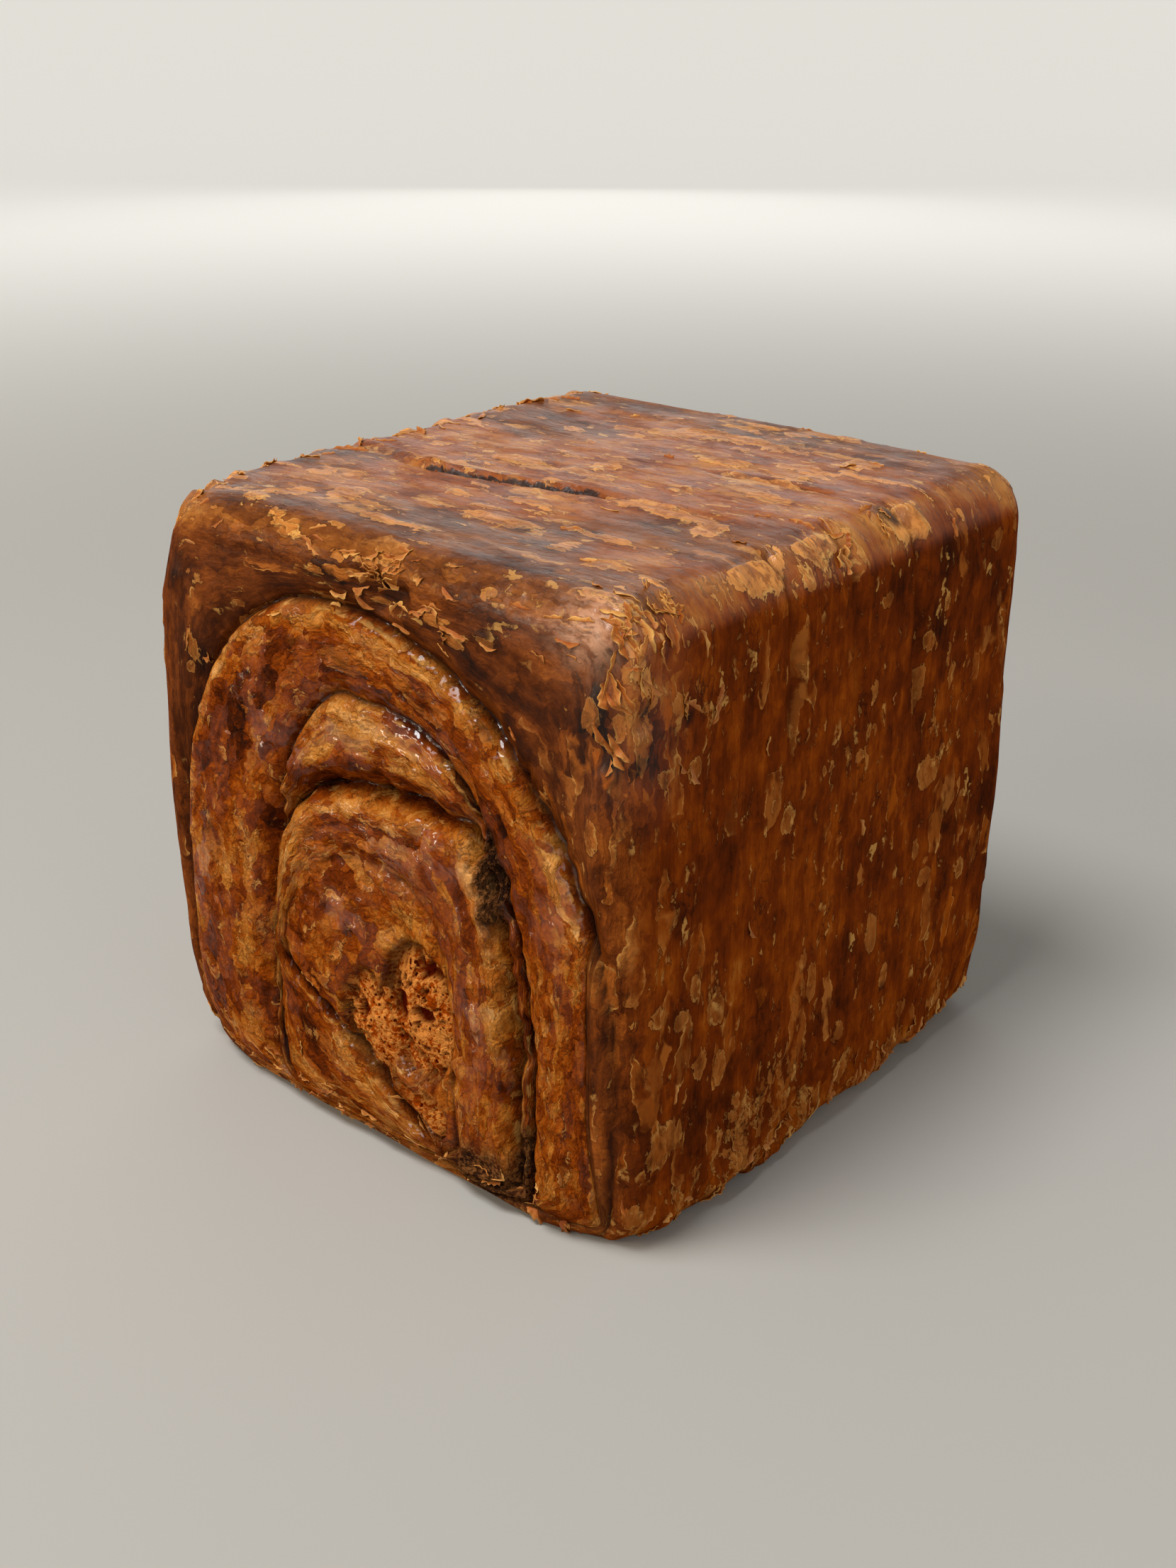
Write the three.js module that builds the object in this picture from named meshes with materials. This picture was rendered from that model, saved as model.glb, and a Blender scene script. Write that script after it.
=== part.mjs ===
import * as THREE from "three";

// A croissant loaf: laminated dough rolled up and baked to a cube in a square tin with its lid on.
// The roll lies along Y, one coiled end faces -Y, and the loaf stands on z = 0.

// Overall sizes in millimetres, between the faces where they are flat.
const WIDTH = 113;
const DEPTH = 118.5;
const HEIGHT = 114;

// Roundings of the square section, and of the edges where the coiled ends turn into the sides.
// At the foot, where the dough was pressed into the tin, the edges are sharper.
const CORNER_RADIUS = { bottomRight: 5.5, topRight: 9.5, topLeft: 8.5, bottomLeft: 11 };
const END_EDGE = { foot: 3, side: 7.5, blend: 30 };

// How far each face swells past its flat, at its fullest.
const SWELL = { right: 0.8, left: 4.2, top: 0.8, end: 1.2 };

// The lift of the four top corners out of square, at the front and the back of each side.
const CORNER_LIFT = { frontLeft: 0.6, frontRight: 1.4, backLeft: 0.6, backRight: 0 };

// Corners that are blunter than the rest, with the side of each axis that they lie on.
const BLUNT_REACH = 22;
const BLUNT_CORNERS = [
  { side: [-1, -1, 1], drop: 1.8 },
  { side: [1, -1, -1], drop: 3.6 },
  { side: [1, 1, -1], drop: 2.2 },
  { side: [-1, -1, -1], drop: 2.6 },
];

// Heart of the roll on the coiled end.
const HEART = { x: 3.8, z: 27 };

// Creases between the turns of the roll, from the outermost in. Each is an arch: two upright legs and a
// rounded head, with a squareness for each shoulder. The turn outside curls into the crease over the
// width "curl", and the turn inside rises out of it over the width "rim".
const TURNS = [
  {
    apex: -6.4, crown: 102, left: -53.1, right: 53.7, spring: 33.5, squareLeft: 2.28, squareRight: 2,
    depth: { left: 3.2, crown: 2.8, right: 2.2 }, curl: 7, rim: 1.8,
  },
  {
    apex: -3.3, crown: 87.8, left: -28.6, right: 36.5, spring: 24, squareLeft: 2, squareRight: 2.6,
    depth: { left: 2.6, crown: 1.6, right: 2.4 }, curl: 4, rim: 2,
  },
  {
    apex: 21.9, crown: 71.5, left: -26.8, right: 33, spring: 28.7, squareLeft: 3.8, squareRight: 1.9,
    depth: { left: 1.2, crown: 5, right: 4.4 }, curl: 6, rim: 3.2,
  },
  {
    apex: 2, crown: 58, left: -24, right: 19, spring: 30, squareLeft: 2.2, squareRight: 2.8,
    depth: { left: 0.3, crown: 0.3, right: 1.6 }, curl: 3, rim: 2.4,
  },
];

// The slanting lip across the foot of the innermost turn, and how softly it runs into that turn.
const SLANT = { from: { x: -30, z: 34.6 }, to: { x: 18.6, z: 1 }, depth: 1.8, blend: 7, grazing: 0.05 };

// Heights between which the creases die out towards the foot, and what is left of them there.
const CREASE_FOOT = { none: 3, full: 13, share: 0.3 };

// Fullness of each turn between its two creases.
const TURN_FULLNESS = 0.9;

// Hollows where the crust has torn off the heart and the open crumb shows.
const CRUMB_HOLLOWS = [
  { x: -2.4, z: 24.2, halfWidth: 6, halfHeight: 12.4, depth: 2.1 },
  { x: 11, z: 32.5, halfWidth: 8, halfHeight: 13.6, depth: 2.4 },
  { x: 11.5, z: 11.2, halfWidth: 5.4, halfHeight: 4.7, depth: 1.3 },
];

// Pleats of the outer skin, which run round the roll and end in flake tips on the left top edge.
const PLEAT_PITCH = 9.2;
const PLEAT_HEIGHT = { edge: 2.0, face: 0.55 };
const PLEAT_FOOT = 0.12;
const PLEAT_TIP = 0.88;
const PLEAT_UNEVEN = { least: 0.75, spread: 0.5, size: 22, step: 3.1 };

// Cracks and folds across the skin: two ends, each a place round the section (x on the top, z on the right
// side) and a place along the roll, then the size.
const FOLDS = [
  { face: "top", from: [-70, -13], to: [-25, -19], depth: 3.0, halfWidth: 3.4 },
  { face: "top", from: [-22, -18.5], to: [10, -12.5], depth: 2.0, halfWidth: 2.6 },
  { face: "top", from: [10, -12.5], to: [42, -11.5], depth: 0.8, halfWidth: 3.0 },
  { face: "top", from: [18, 13.5], to: [36, 14.5], depth: 0.9, halfWidth: 3.0 },
  { face: "right", from: [82, -16], to: [122, -19], depth: 1.4, halfWidth: 3.6 },
  { face: "right", from: [86, 1.5], to: [122, -3], depth: 1.2, halfWidth: 3.6 },
  { face: "right", from: [78, 22.5], to: [122, 16], depth: 1.4, halfWidth: 3.6 },
];
const FOLD_FADE = 7;

// Gentle unevenness of the skin and the ragged foot where the dough met the tin.
const LUMP = { height: 0.8, size: 26 };
const RAGGED_FOOT = { height: 1.6, size: 8, reach: 16 };

// Fineness of the mesh round the section and along the roll.
const CORNER_STEPS = 4;
const FACE_STEPS = 16;
const EDGE_STEPS = 3;
const FRONT = { heart: 5, band: 2 };
const BACK = { heart: 2, band: 1 };
const EDGE_CROWDING = 0.011;
const CREASE_GAP = 1.5;
const SHOULDER_SHARE = 0.4;
const RING_GAP = 1;

const CRUST = new THREE.MeshStandardMaterial({ color: 0x8a4a1c, roughness: 0.5, metalness: 0 });

// Shared curves
function clamp01(value) {
  return Math.min(1, Math.max(0, value));
}

function ease(from, to, value) {
  const t = clamp01((value - from) / (to - from));
  return t * t * (3 - 2 * t);
}

function mix(a, b, t) {
  return a + (b - a) * t;
}

// Seeded noise between -1 and 1 on a unit lattice
function lattice(i, j, k) {
  const value = Math.sin(i * 12.9898 + j * 78.233 + k * 37.719) * 437.585453;
  return 2 * (value - Math.floor(value)) - 1;
}

function noise(x, y, z) {
  const [i, j, k] = [x, y, z].map(Math.floor);
  const [u, v, w] = [x - i, y - j, z - k].map((t) => t * t * (3 - 2 * t));
  const edge = (dj, dk) => mix(lattice(i, j + dj, k + dk), lattice(i + 1, j + dj, k + dk), u);
  const face = (dk) => mix(edge(0, dk), edge(1, dk), v);
  return mix(face(0), face(1), w);
}

// The square section seen from the front, anticlockwise from the foot of the right face
function sectionOutline() {
  const half = WIDTH / 2;
  const corners = [
    { x: half, z: 0, radius: CORNER_RADIUS.bottomRight, start: -90 },
    { x: half, z: HEIGHT, radius: CORNER_RADIUS.topRight, start: 0 },
    { x: -half, z: HEIGHT, radius: CORNER_RADIUS.topLeft, start: 90 },
    { x: -half, z: 0, radius: CORNER_RADIUS.bottomLeft, start: 180 },
  ];
  const arcs = corners.map((corner) => {
    const centreX = corner.x - Math.sign(corner.x) * corner.radius;
    const centreZ = corner.z + (corner.z > 0 ? -1 : 1) * corner.radius;
    return Array.from({ length: CORNER_STEPS + 1 }, (_, step) => {
      const angle = THREE.MathUtils.degToRad(corner.start + (90 * step) / CORNER_STEPS);
      const normal = { x: Math.cos(angle), z: Math.sin(angle) };
      return { x: centreX + corner.radius * normal.x, z: centreZ + corner.radius * normal.z, normal };
    });
  });
  return arcs.flatMap((arc, index) => {
    const last = arc[CORNER_STEPS];
    const next = arcs[(index + 1) % arcs.length][0];
    const flat = Array.from({ length: FACE_STEPS - 1 }, (_, step) => {
      const t = (step + 1) / FACE_STEPS;
      return { x: mix(last.x, next.x, t), z: mix(last.z, next.z, t), normal: last.normal };
    });
    return [...arc, ...flat];
  });
}

// How far the section swells outward at a point of its outline
function swell(point) {
  const height = clamp01(point.z / HEIGHT);
  const right = Math.max(point.normal.x, 0) * SWELL.right * Math.sin(Math.PI * height);
  const left = Math.max(-point.normal.x, 0) * SWELL.left * Math.sin(Math.PI * height ** 0.8);
  const top = Math.max(point.normal.z, 0) * SWELL.top * Math.cos((Math.PI * point.x) / (WIDTH * 1.2));
  return right + left + top;
}

// A ray from the heart of the roll to one point of the outline, with the creases that it crosses
function heartRay(point) {
  const { normal } = point;
  const bulge = swell(point);
  const rim = { x: point.x + bulge * normal.x, z: point.z + bulge * normal.z };
  const edge = mix(END_EDGE.foot, END_EDGE.side, ease(0, END_EDGE.blend, rim.z));
  const shoulder = { x: rim.x - edge * normal.x, z: rim.z - edge * normal.z };
  const reach = Math.hypot(shoulder.x - HEART.x, shoulder.z - HEART.z);
  const direction = { x: (shoulder.x - HEART.x) / reach, z: (shoulder.z - HEART.z) / reach };
  const ray = { normal, rim, edge, shoulder, reach, direction };
  ray.creases = TURNS.map((turn) => turnCrease(turn, ray));
  ray.creases.push(joinSlant(ray.creases.pop(), direction));
  return ray;
}

// The crease of one turn on a ray: how far out it lies and how deep it is
function turnCrease(turn, ray) {
  const at = turnCrossing(turn, ray);
  const height = HEART.z + ray.direction.z * at;
  const foot = mix(CREASE_FOOT.share, 1, ease(CREASE_FOOT.none, CREASE_FOOT.full, height));
  return { ...turn, at, deep: turnDepth(turn, ray.direction) * foot };
}

// The innermost crease goes over into the slanting lip where that is nearer to the heart
function joinSlant(crease, direction) {
  const slant = slantCrossing(direction);
  const share = ease(-SLANT.blend, SLANT.blend, crease.at - slant);
  const at = Math.min(mix(crease.at, Math.min(slant, crease.at + SLANT.blend), share), crease.at);
  return { ...crease, at, deep: mix(crease.deep, SLANT.depth, share) };
}

function turnLevel(turn, x, z) {
  const left = x < turn.apex;
  const half = left ? turn.apex - turn.left : turn.right - turn.apex;
  const power = left ? turn.squareLeft : turn.squareRight;
  const rise = Math.max(0, (z - turn.spring) / (turn.crown - turn.spring));
  return (Math.abs(x - turn.apex) / half) ** power + rise ** power;
}

// Distance along the ray to a turn's crease, by halving the span that holds it
function turnCrossing(turn, ray) {
  let near = 0;
  let far = ray.reach * 3;
  for (let halving = 0; halving < 40; halving += 1) {
    const middle = (near + far) / 2;
    const x = HEART.x + ray.direction.x * middle;
    const z = HEART.z + ray.direction.z * middle;
    if (turnLevel(turn, x, z) < 1) near = middle;
    else far = middle;
  }
  return far;
}

function turnDepth(turn, direction) {
  const crown = Math.max(direction.z, 0) ** 2;
  const side = direction.x > 0 ? turn.depth.right : turn.depth.left;
  return mix(side, turn.depth.crown, crown);
}

function slantCrossing(direction) {
  const { from, to } = SLANT;
  const length = Math.hypot(to.x - from.x, to.z - from.z);
  const outward = { x: (to.z - from.z) / length, z: (from.x - to.x) / length };
  const distance = (from.x - HEART.x) * outward.x + (from.z - HEART.z) * outward.z;
  const facing = direction.x * outward.x + direction.z * outward.z;
  return facing > SLANT.grazing ? distance / facing : Infinity;
}

// Depth of one crease at a distance outside it
function creaseDepth(crease, outside) {
  const width = outside > 0 ? crease.curl : crease.rim;
  return crease.deep * (1 - clamp01(Math.abs(outside) / width)) ** 2;
}

// Relief of a coiled end: creases, full turns and torn hollows
function endRelief(ray, distance, hollows) {
  const creases = ray.creases.reduce((sum, crease) => sum + creaseDepth(crease, distance - crease.at), 0);
  const bounds = [...ray.creases.map((crease) => crease.at).reverse(), Infinity];
  const outer = bounds.findIndex((at) => at > distance);
  let fullness = 0;
  if (outer > 0 && bounds[outer] < Infinity) {
    const across = (distance - bounds[outer - 1]) / (bounds[outer] - bounds[outer - 1]);
    fullness = TURN_FULLNESS * (1 - (2 * across - 1) ** 2);
  }
  const x = HEART.x + ray.direction.x * distance;
  const z = HEART.z + ray.direction.z * distance;
  const torn = Math.max(0, ...hollows.map((hollow) => hollowDepth(hollow, x, z)));
  const dome = SWELL.end * (1 - clamp01(distance / ray.reach) ** 2);
  return dome + fullness - creases - torn;
}

function hollowDepth(hollow, x, z) {
  const away = Math.hypot((x - hollow.x) / hollow.halfWidth, (z - hollow.z) / hollow.halfHeight);
  return hollow.depth * (1 - ease(0.75, 1.15, away));
}

// Relief of the skin round the roll: pleats, folds, lumps and the ragged foot
function skinRelief(point, along) {
  const { x, z } = point.rim;
  const { normal } = point;
  const standing = ease(0, 0.5, Math.max(Math.abs(normal.x), normal.z));
  const tipEdge = ease(0.25, 0.6, -normal.x) * ease(0.25, 0.6, normal.z);
  const tooth = (along + DEPTH) / PLEAT_PITCH;
  const rise = ease(0, 1, (tooth - Math.floor(tooth) - PLEAT_FOOT) / (PLEAT_TIP - PLEAT_FOOT));
  const { least, spread, size, step } = PLEAT_UNEVEN;
  const uneven = least + spread * noise(Math.floor(tooth) * step, x / size, z / size);
  const pleat = mix(PLEAT_HEIGHT.face, PLEAT_HEIGHT.edge, tipEdge) * uneven * (rise - 0.5);
  const folds = FOLDS.reduce((sum, fold) => sum + foldDepth(fold, point, along), 0);
  const lumps = LUMP.height * noise(x / LUMP.size, along / LUMP.size, z / LUMP.size);
  const foot = RAGGED_FOOT.height * (1 - ease(0, RAGGED_FOOT.reach, z)) * Math.abs(normal.x);
  const ragged = foot * noise(along / RAGGED_FOOT.size, z / RAGGED_FOOT.size, Math.sign(x) * 5);
  return standing * (pleat + lumps + ragged - folds);
}

function foldDepth(fold, point, along) {
  const place = fold.face === "top" ? point.rim.x : point.rim.z;
  const facing = fold.face === "top" ? point.normal.z : point.normal.x;
  const [start, startAlong] = fold.from;
  const [end, endAlong] = fold.to;
  const middle = mix(startAlong, endAlong, clamp01((place - start) / (end - start)));
  const across = (1 - clamp01(Math.abs(along - middle) / fold.halfWidth)) ** 2;
  const within = ease(start - FOLD_FADE, start, place) * (1 - ease(end, end + FOLD_FADE, place));
  return fold.depth * across * within * ease(0.1, 0.6, facing);
}

// Distances along a ray at which the rings of a coiled end cross it, from the heart out
function ringDistances(ray, fineness) {
  const inward = [...ray.creases].reverse();
  const stops = [];
  let inner = 0;
  let previous = 0;
  inward.forEach((crease, index) => {
    const steps = index === 0 ? fineness.heart : fineness.band;
    const at = Math.max(crease.at, previous + CREASE_GAP);
    const beyond = index + 1 < inward.length ? inward[index + 1].at : Infinity;
    const innerShoulder = at - Math.min(crease.rim, SHOULDER_SHARE * (at - previous));
    const room = SHOULDER_SHARE * Math.max(beyond - at, CREASE_GAP);
    const outerShoulder = at + Math.min(crease.curl / 2, room);
    for (let step = 1; step <= steps; step += 1) stops.push(mix(inner, innerShoulder, step / (steps + 1)));
    stops.push(innerShoulder, at, outerShoulder);
    inner = outerShoulder;
    previous = at;
  });
  for (let step = 1; step <= fineness.band; step += 1) {
    stops.push(mix(inner, Math.max(ray.reach, inner + RING_GAP), step / (fineness.band + 1)));
  }
  const crowd = (index) => ray.reach * (1 - (stops.length - index) * EDGE_CROWDING);
  return stops.map((stop, index) => Math.min(stop, crowd(index)));
}

// One coiled end as rings of points, from the innermost ring to the last one before the side
function coiledEnd(rays, facing, fineness, hollows) {
  const plane = (facing * DEPTH) / 2;
  const distances = rays.map((ray) => ringDistances(ray, fineness));
  const rings = distances[0].map((_, index) => rays.map((ray, column) => {
    const distance = distances[column][index];
    const out = endRelief(ray, distance, hollows);
    const x = HEART.x + ray.direction.x * distance;
    const z = HEART.z + ray.direction.z * distance;
    return new THREE.Vector3(x, plane + facing * out, z);
  }));
  for (let step = 0; step < EDGE_STEPS; step += 1) {
    const angle = (Math.PI / 2) * (step / EDGE_STEPS);
    rings.push(rays.map((ray) => roundedEdge(ray, angle, facing, hollows)));
  }
  return rings;
}

// A point of the rounding between a coiled end and the skin, turned by an angle from the end's plane
function roundedEdge(ray, angle, facing, hollows) {
  const turned = angle / (Math.PI / 2);
  const along = facing * (DEPTH / 2 - ray.edge + ray.edge * Math.cos(angle));
  const endPart = endRelief(ray, ray.reach + ray.edge * angle, hollows) * (1 - turned);
  const relief = endPart + skinRelief(ray, along) * turned;
  const out = (ray.edge + relief) * Math.sin(angle);
  const x = ray.shoulder.x + ray.normal.x * out;
  const z = ray.shoulder.z + ray.normal.z * out;
  return new THREE.Vector3(x, along + facing * relief * Math.cos(angle), z);
}

// The skin between the two ends, with two rings to each pleat
function skinRings(rays) {
  const half = DEPTH / 2 - END_EDGE.side;
  const teeth = Array.from({ length: Math.ceil((2 * DEPTH) / PLEAT_PITCH) }, (_, tooth) => tooth);
  const stops = teeth.flatMap((tooth) => [tooth + PLEAT_FOOT, tooth + PLEAT_TIP]);
  const allPlaces = stops.map((stop) => stop * PLEAT_PITCH - DEPTH);
  const places = allPlaces.filter((place) => Math.abs(place) < half - RING_GAP);
  const ring = (placeOn) => rays.map((ray) => {
    const along = placeOn(ray);
    const out = skinRelief(ray, along);
    return new THREE.Vector3(ray.rim.x + ray.normal.x * out, along, ray.rim.z + ray.normal.z * out);
  });
  const frontRing = ring((ray) => ray.edge - DEPTH / 2);
  const backRing = ring((ray) => DEPTH / 2 - ray.edge);
  return [frontRing, ...places.map((place) => ring(() => place)), backRing];
}

// The whole loaf leans out of square, has some blunt corners and stands flat
function settle(point) {
  const right = clamp01(point.x / WIDTH + 0.5);
  const back = clamp01(point.y / DEPTH + 0.5);
  const front = mix(CORNER_LIFT.frontLeft, CORNER_LIFT.frontRight, right);
  const rear = mix(CORNER_LIFT.backLeft, CORNER_LIFT.backRight, right);
  const halves = [WIDTH / 2, DEPTH / 2, HEIGHT / 2];
  const place = [point.x, point.y, point.z - HEIGHT / 2];
  point.z += mix(front, rear, back) * clamp01(point.z / HEIGHT);
  BLUNT_CORNERS.forEach(({ side, drop }) => {
    const near = halves.map((half, axis) => ease(half - BLUNT_REACH, half, side[axis] * place[axis]));
    const inward = drop * near[0] * near[1] * near[2];
    point.x -= side[0] * inward;
    point.y -= side[1] * inward;
    point.z -= Math.max(side[2], 0) * inward;
  });
  point.z = Math.max(point.z, 0);
}

// Rings joined into one closed skin, with a fan at each heart
function closedSkin(rings, firstHeart, lastHeart) {
  const count = rings[0].length;
  const points = [firstHeart, ...rings.flat(), lastHeart];
  const last = points.length - 1;
  const triangles = [];
  for (let column = 0; column < count; column += 1) {
    const next = (column + 1) % count;
    triangles.push([0, 1 + column, 1 + next]);
    for (let ring = 0; ring + 1 < rings.length; ring += 1) {
      const [a, b] = [1 + ring * count + column, 1 + ring * count + next];
      triangles.push([a, a + count, b + count], [a, b + count, b]);
    }
    const end = 1 + (rings.length - 1) * count;
    triangles.push([last, end + next, end + column]);
  }
  points.forEach(settle);
  const positions = points.flatMap((point) => point.toArray());
  const geometry = new THREE.BufferGeometry();
  geometry.setAttribute("position", new THREE.Float32BufferAttribute(positions, 3));
  geometry.setIndex(triangles.flat());
  geometry.computeBoundingBox();
  const centre = geometry.boundingBox.getCenter(new THREE.Vector3());
  geometry.translate(-centre.x, -centre.y, -geometry.boundingBox.min.z);
  geometry.computeVertexNormals();
  return geometry;
}

function heartPoint(rays, facing, hollows) {
  const out = endRelief(rays[0], 0, hollows);
  return new THREE.Vector3(HEART.x, facing * (DEPTH / 2 + out), HEART.z);
}

function loaf() {
  const rays = sectionOutline().map(heartRay);
  const front = coiledEnd(rays, -1, FRONT, CRUMB_HOLLOWS);
  const back = coiledEnd(rays, 1, BACK, []).reverse();
  const rings = [...front, ...skinRings(rays), ...back];
  const geometry = closedSkin(rings, heartPoint(rays, -1, CRUMB_HOLLOWS), heartPoint(rays, 1, []));
  const mesh = new THREE.Mesh(geometry, CRUST);
  mesh.name = "loaf";
  return mesh;
}

const croissantLoaf = new THREE.Group();
croissantLoaf.add(loaf());

export default croissantLoaf;
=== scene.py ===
# %% [markdown]
# A croissant loaf
#
# This lesson dresses one loaf of laminated dough that was rolled up and baked to a cube in a lidded tin.
# The solid is already there as a fixed frame in metres. Here it gets the fine crust: creases between the
# turns of the roll, flakes, blisters, a torn heart with open crumb, and the browned colours.

# %% Load the frame
import bpy
import math
from functools import partial
import numpy as np
from mathutils import Matrix, Vector


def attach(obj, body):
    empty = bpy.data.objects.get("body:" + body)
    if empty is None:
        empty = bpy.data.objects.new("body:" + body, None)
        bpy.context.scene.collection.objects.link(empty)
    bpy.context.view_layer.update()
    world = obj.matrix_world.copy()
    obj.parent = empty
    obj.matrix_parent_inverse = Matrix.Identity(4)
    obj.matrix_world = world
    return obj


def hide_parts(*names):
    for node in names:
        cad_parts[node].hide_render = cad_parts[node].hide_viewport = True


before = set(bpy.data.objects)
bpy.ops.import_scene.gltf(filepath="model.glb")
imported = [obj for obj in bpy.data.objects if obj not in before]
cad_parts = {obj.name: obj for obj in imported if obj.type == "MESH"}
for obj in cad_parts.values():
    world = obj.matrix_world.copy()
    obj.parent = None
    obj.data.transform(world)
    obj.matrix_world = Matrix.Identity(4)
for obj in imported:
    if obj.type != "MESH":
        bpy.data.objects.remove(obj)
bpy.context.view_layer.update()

# %% [markdown]
# Sizes
#
# The crust repeats the sizes of the solid, in millimetres, so that the fine skin lies on it. A sculpted or
# scanned skin would drift off the solid, while a skin worked out from the same sizes stays close to it.

# %% Sizes of the loaf
MILLIMETRE = 0.001
WIDTH, DEPTH, HEIGHT = 113.0, 118.5, 114.0
print("loaf between its flats:", WIDTH, "x", DEPTH, "x", HEIGHT, "mm")

# %% [markdown]
# Unevenness
#
# No two places on a baked crust are alike. Painting that by hand would take days, so seeded noise makes it:
# a lattice of random values, blended smoothly in between, and summed at halving sizes.

# %% Helpers for curves
def ease(start, stop, value):
    """Rise smoothly from 0 to 1 while the value goes from start to stop."""
    t = np.clip((value - start) / (stop - start), 0, 1)
    return t * t * (3 - 2 * t)


def mix(a, b, t):
    return a + (b - a) * t


print("half way up a curve:", float(ease(0, 1, 0.5)))

# %% Helpers for noise
def blended(point, corner_value):
    """Blend the values at the eight corners of the lattice cell that each point lies in."""
    x, y, z = np.broadcast_arrays(*point)
    i, j, k = np.floor(x), np.floor(y), np.floor(z)
    u, v, w = (part * part * (3 - 2 * part) for part in (x - i, y - j, z - k))
    total = np.zeros(x.shape)
    for corner in range(8):
        di, dj, dk = corner & 1, corner >> 1 & 1, corner >> 2 & 1
        weight = (u if di else 1 - u) * (v if dj else 1 - v) * (w if dk else 1 - w)
        total += weight * corner_value(i + di, j + dj, k + dk)
    return total


def lattice(i, j, k, seed):
    """Give a whole-numbered place a random value from -1 to 1."""
    i, j, k = (np.asarray(axis).astype(np.int64) for axis in (i, j, k))
    mixed = (i * 374761393 + j * 668265263 + k * 974634611 + seed * 1274126177) & 0xFFFFFFFF
    mixed = ((mixed ^ (mixed >> 13)) * 1274126177) & 0xFFFFFFFF
    return (mixed ^ (mixed >> 16)) / 0x7FFFFFFF - 1


def noise(point, seed, octaves=1):
    total, size, share = 0, 1.0, 0.0
    for octave in range(octaves):
        finer = [axis * size for axis in point]
        total = total + blended(finer, partial(lattice, seed=seed + octave)) / size
        share += 1 / size
        size *= 2
    return total / share


print("noise at one point:", float(noise((np.array(0.3), np.array(1.2), np.array(2.7)), 1)))

# %% [markdown]
# The square section
#
# Every ring of the crust starts from the loaf's square section. It is walked once round, anticlockwise from
# the foot of the right face, with more columns on the rounded corners than on the flats. A cube with
# bevelled edges would be quicker, but it has no say in where its points lie.

# %% Columns round the section
CORNER_RADIUS = {"bottom_right": 5.5, "top_right": 9.5, "top_left": 8.5, "bottom_left": 11.0}
FACE_COLUMNS = (86, 84, 70, 14)
CORNER_COLUMNS = (12, 22, 20, 14)


def section_outline():
    half = WIDTH / 2
    corners = [
        (half, 0.0, CORNER_RADIUS["bottom_right"], -90),
        (half, HEIGHT, CORNER_RADIUS["top_right"], 0),
        (-half, HEIGHT, CORNER_RADIUS["top_left"], 90),
        (-half, 0.0, CORNER_RADIUS["bottom_left"], 180),
    ]
    arcs = []
    for (x, z, radius, start), count in zip(corners, CORNER_COLUMNS):
        angle = np.radians(start + 90 * np.arange(count + 1) / count)
        centre = np.array([x - np.sign(x) * radius, z + (-radius if z > 0 else radius)])
        normal = np.stack([np.cos(angle), np.sin(angle)], 1)
        arcs.append((centre + radius * normal, normal))
    places, normals = [], []
    for index, (place, normal) in enumerate(arcs):
        after = arcs[(index + 1) % len(arcs)][0][0]
        t = np.arange(1, FACE_COLUMNS[index])[:, None] / FACE_COLUMNS[index]
        places += [place, mix(place[-1], after, t)]
        normals += [normal, np.repeat(normal[-1:], len(t), 0)]
    return np.concatenate(places), np.concatenate(normals)


outline, outline_normal = section_outline()
columns = len(outline)
print("columns round the section:", columns)

# %% [markdown]
# The rim, seen from the heart
#
# The faces of the loaf swell a little between their corners. From the heart of the roll, one ray runs to
# each column of the rim, so that the coiled end can be built in rings that grow from the heart outwards. A
# square grid would be simpler, but its lines would cut across every turn of the roll.

# %% Rays from the heart of the roll to the rim
HEART_X, HEART_Z = 3.8, 27.0
END_EDGE = {"foot": 3.0, "side": 7.5, "blend": 30.0}
SWELL = {"right": 0.8, "left": 4.2, "top": 0.8, "end": 1.2}
LEFT_SWELL_POWER = 0.8
TOP_SWELL_SPREAD = 1.2

normal_x, normal_z = outline_normal.T
height_share = np.clip(outline[:, 1] / HEIGHT, 0, 1)
bulge = np.maximum(normal_x, 0) * SWELL["right"] * np.sin(math.pi * height_share)
bulge += np.maximum(-normal_x, 0) * SWELL["left"] * np.sin(math.pi * height_share ** LEFT_SWELL_POWER)
bulge += np.maximum(normal_z, 0) * SWELL["top"] * np.cos(math.pi * outline[:, 0] / (WIDTH * TOP_SWELL_SPREAD))
rim_x = outline[:, 0] + bulge * normal_x
rim_z = outline[:, 1] + bulge * normal_z
edge = mix(END_EDGE["foot"], END_EDGE["side"], ease(0, END_EDGE["blend"], rim_z))
shoulder_x = rim_x - edge * normal_x
shoulder_z = rim_z - edge * normal_z
reach = np.hypot(shoulder_x - HEART_X, shoulder_z - HEART_Z)
aim_x = (shoulder_x - HEART_X) / reach
aim_z = (shoulder_z - HEART_Z) / reach
steps = np.hypot(np.diff(rim_x, append=rim_x[0]), np.diff(rim_z, append=rim_z[0]))
girth = steps.sum()
around = np.concatenate([[0], np.cumsum(steps)[:-1]]) / girth
print("girth of the loaf:", round(float(girth), 1), "mm")

# %% [markdown]
# The turns of the roll
#
# The end of the loaf shows the dough sheet from its edge: a wrap, two bands and a plug in the middle. Each
# crease between them is an arch with its own head, legs and depth on the left, at the head and on the right.
# Tracing the creases by hand would also work, but arches keep the few sizes that a baker could measure.

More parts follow.
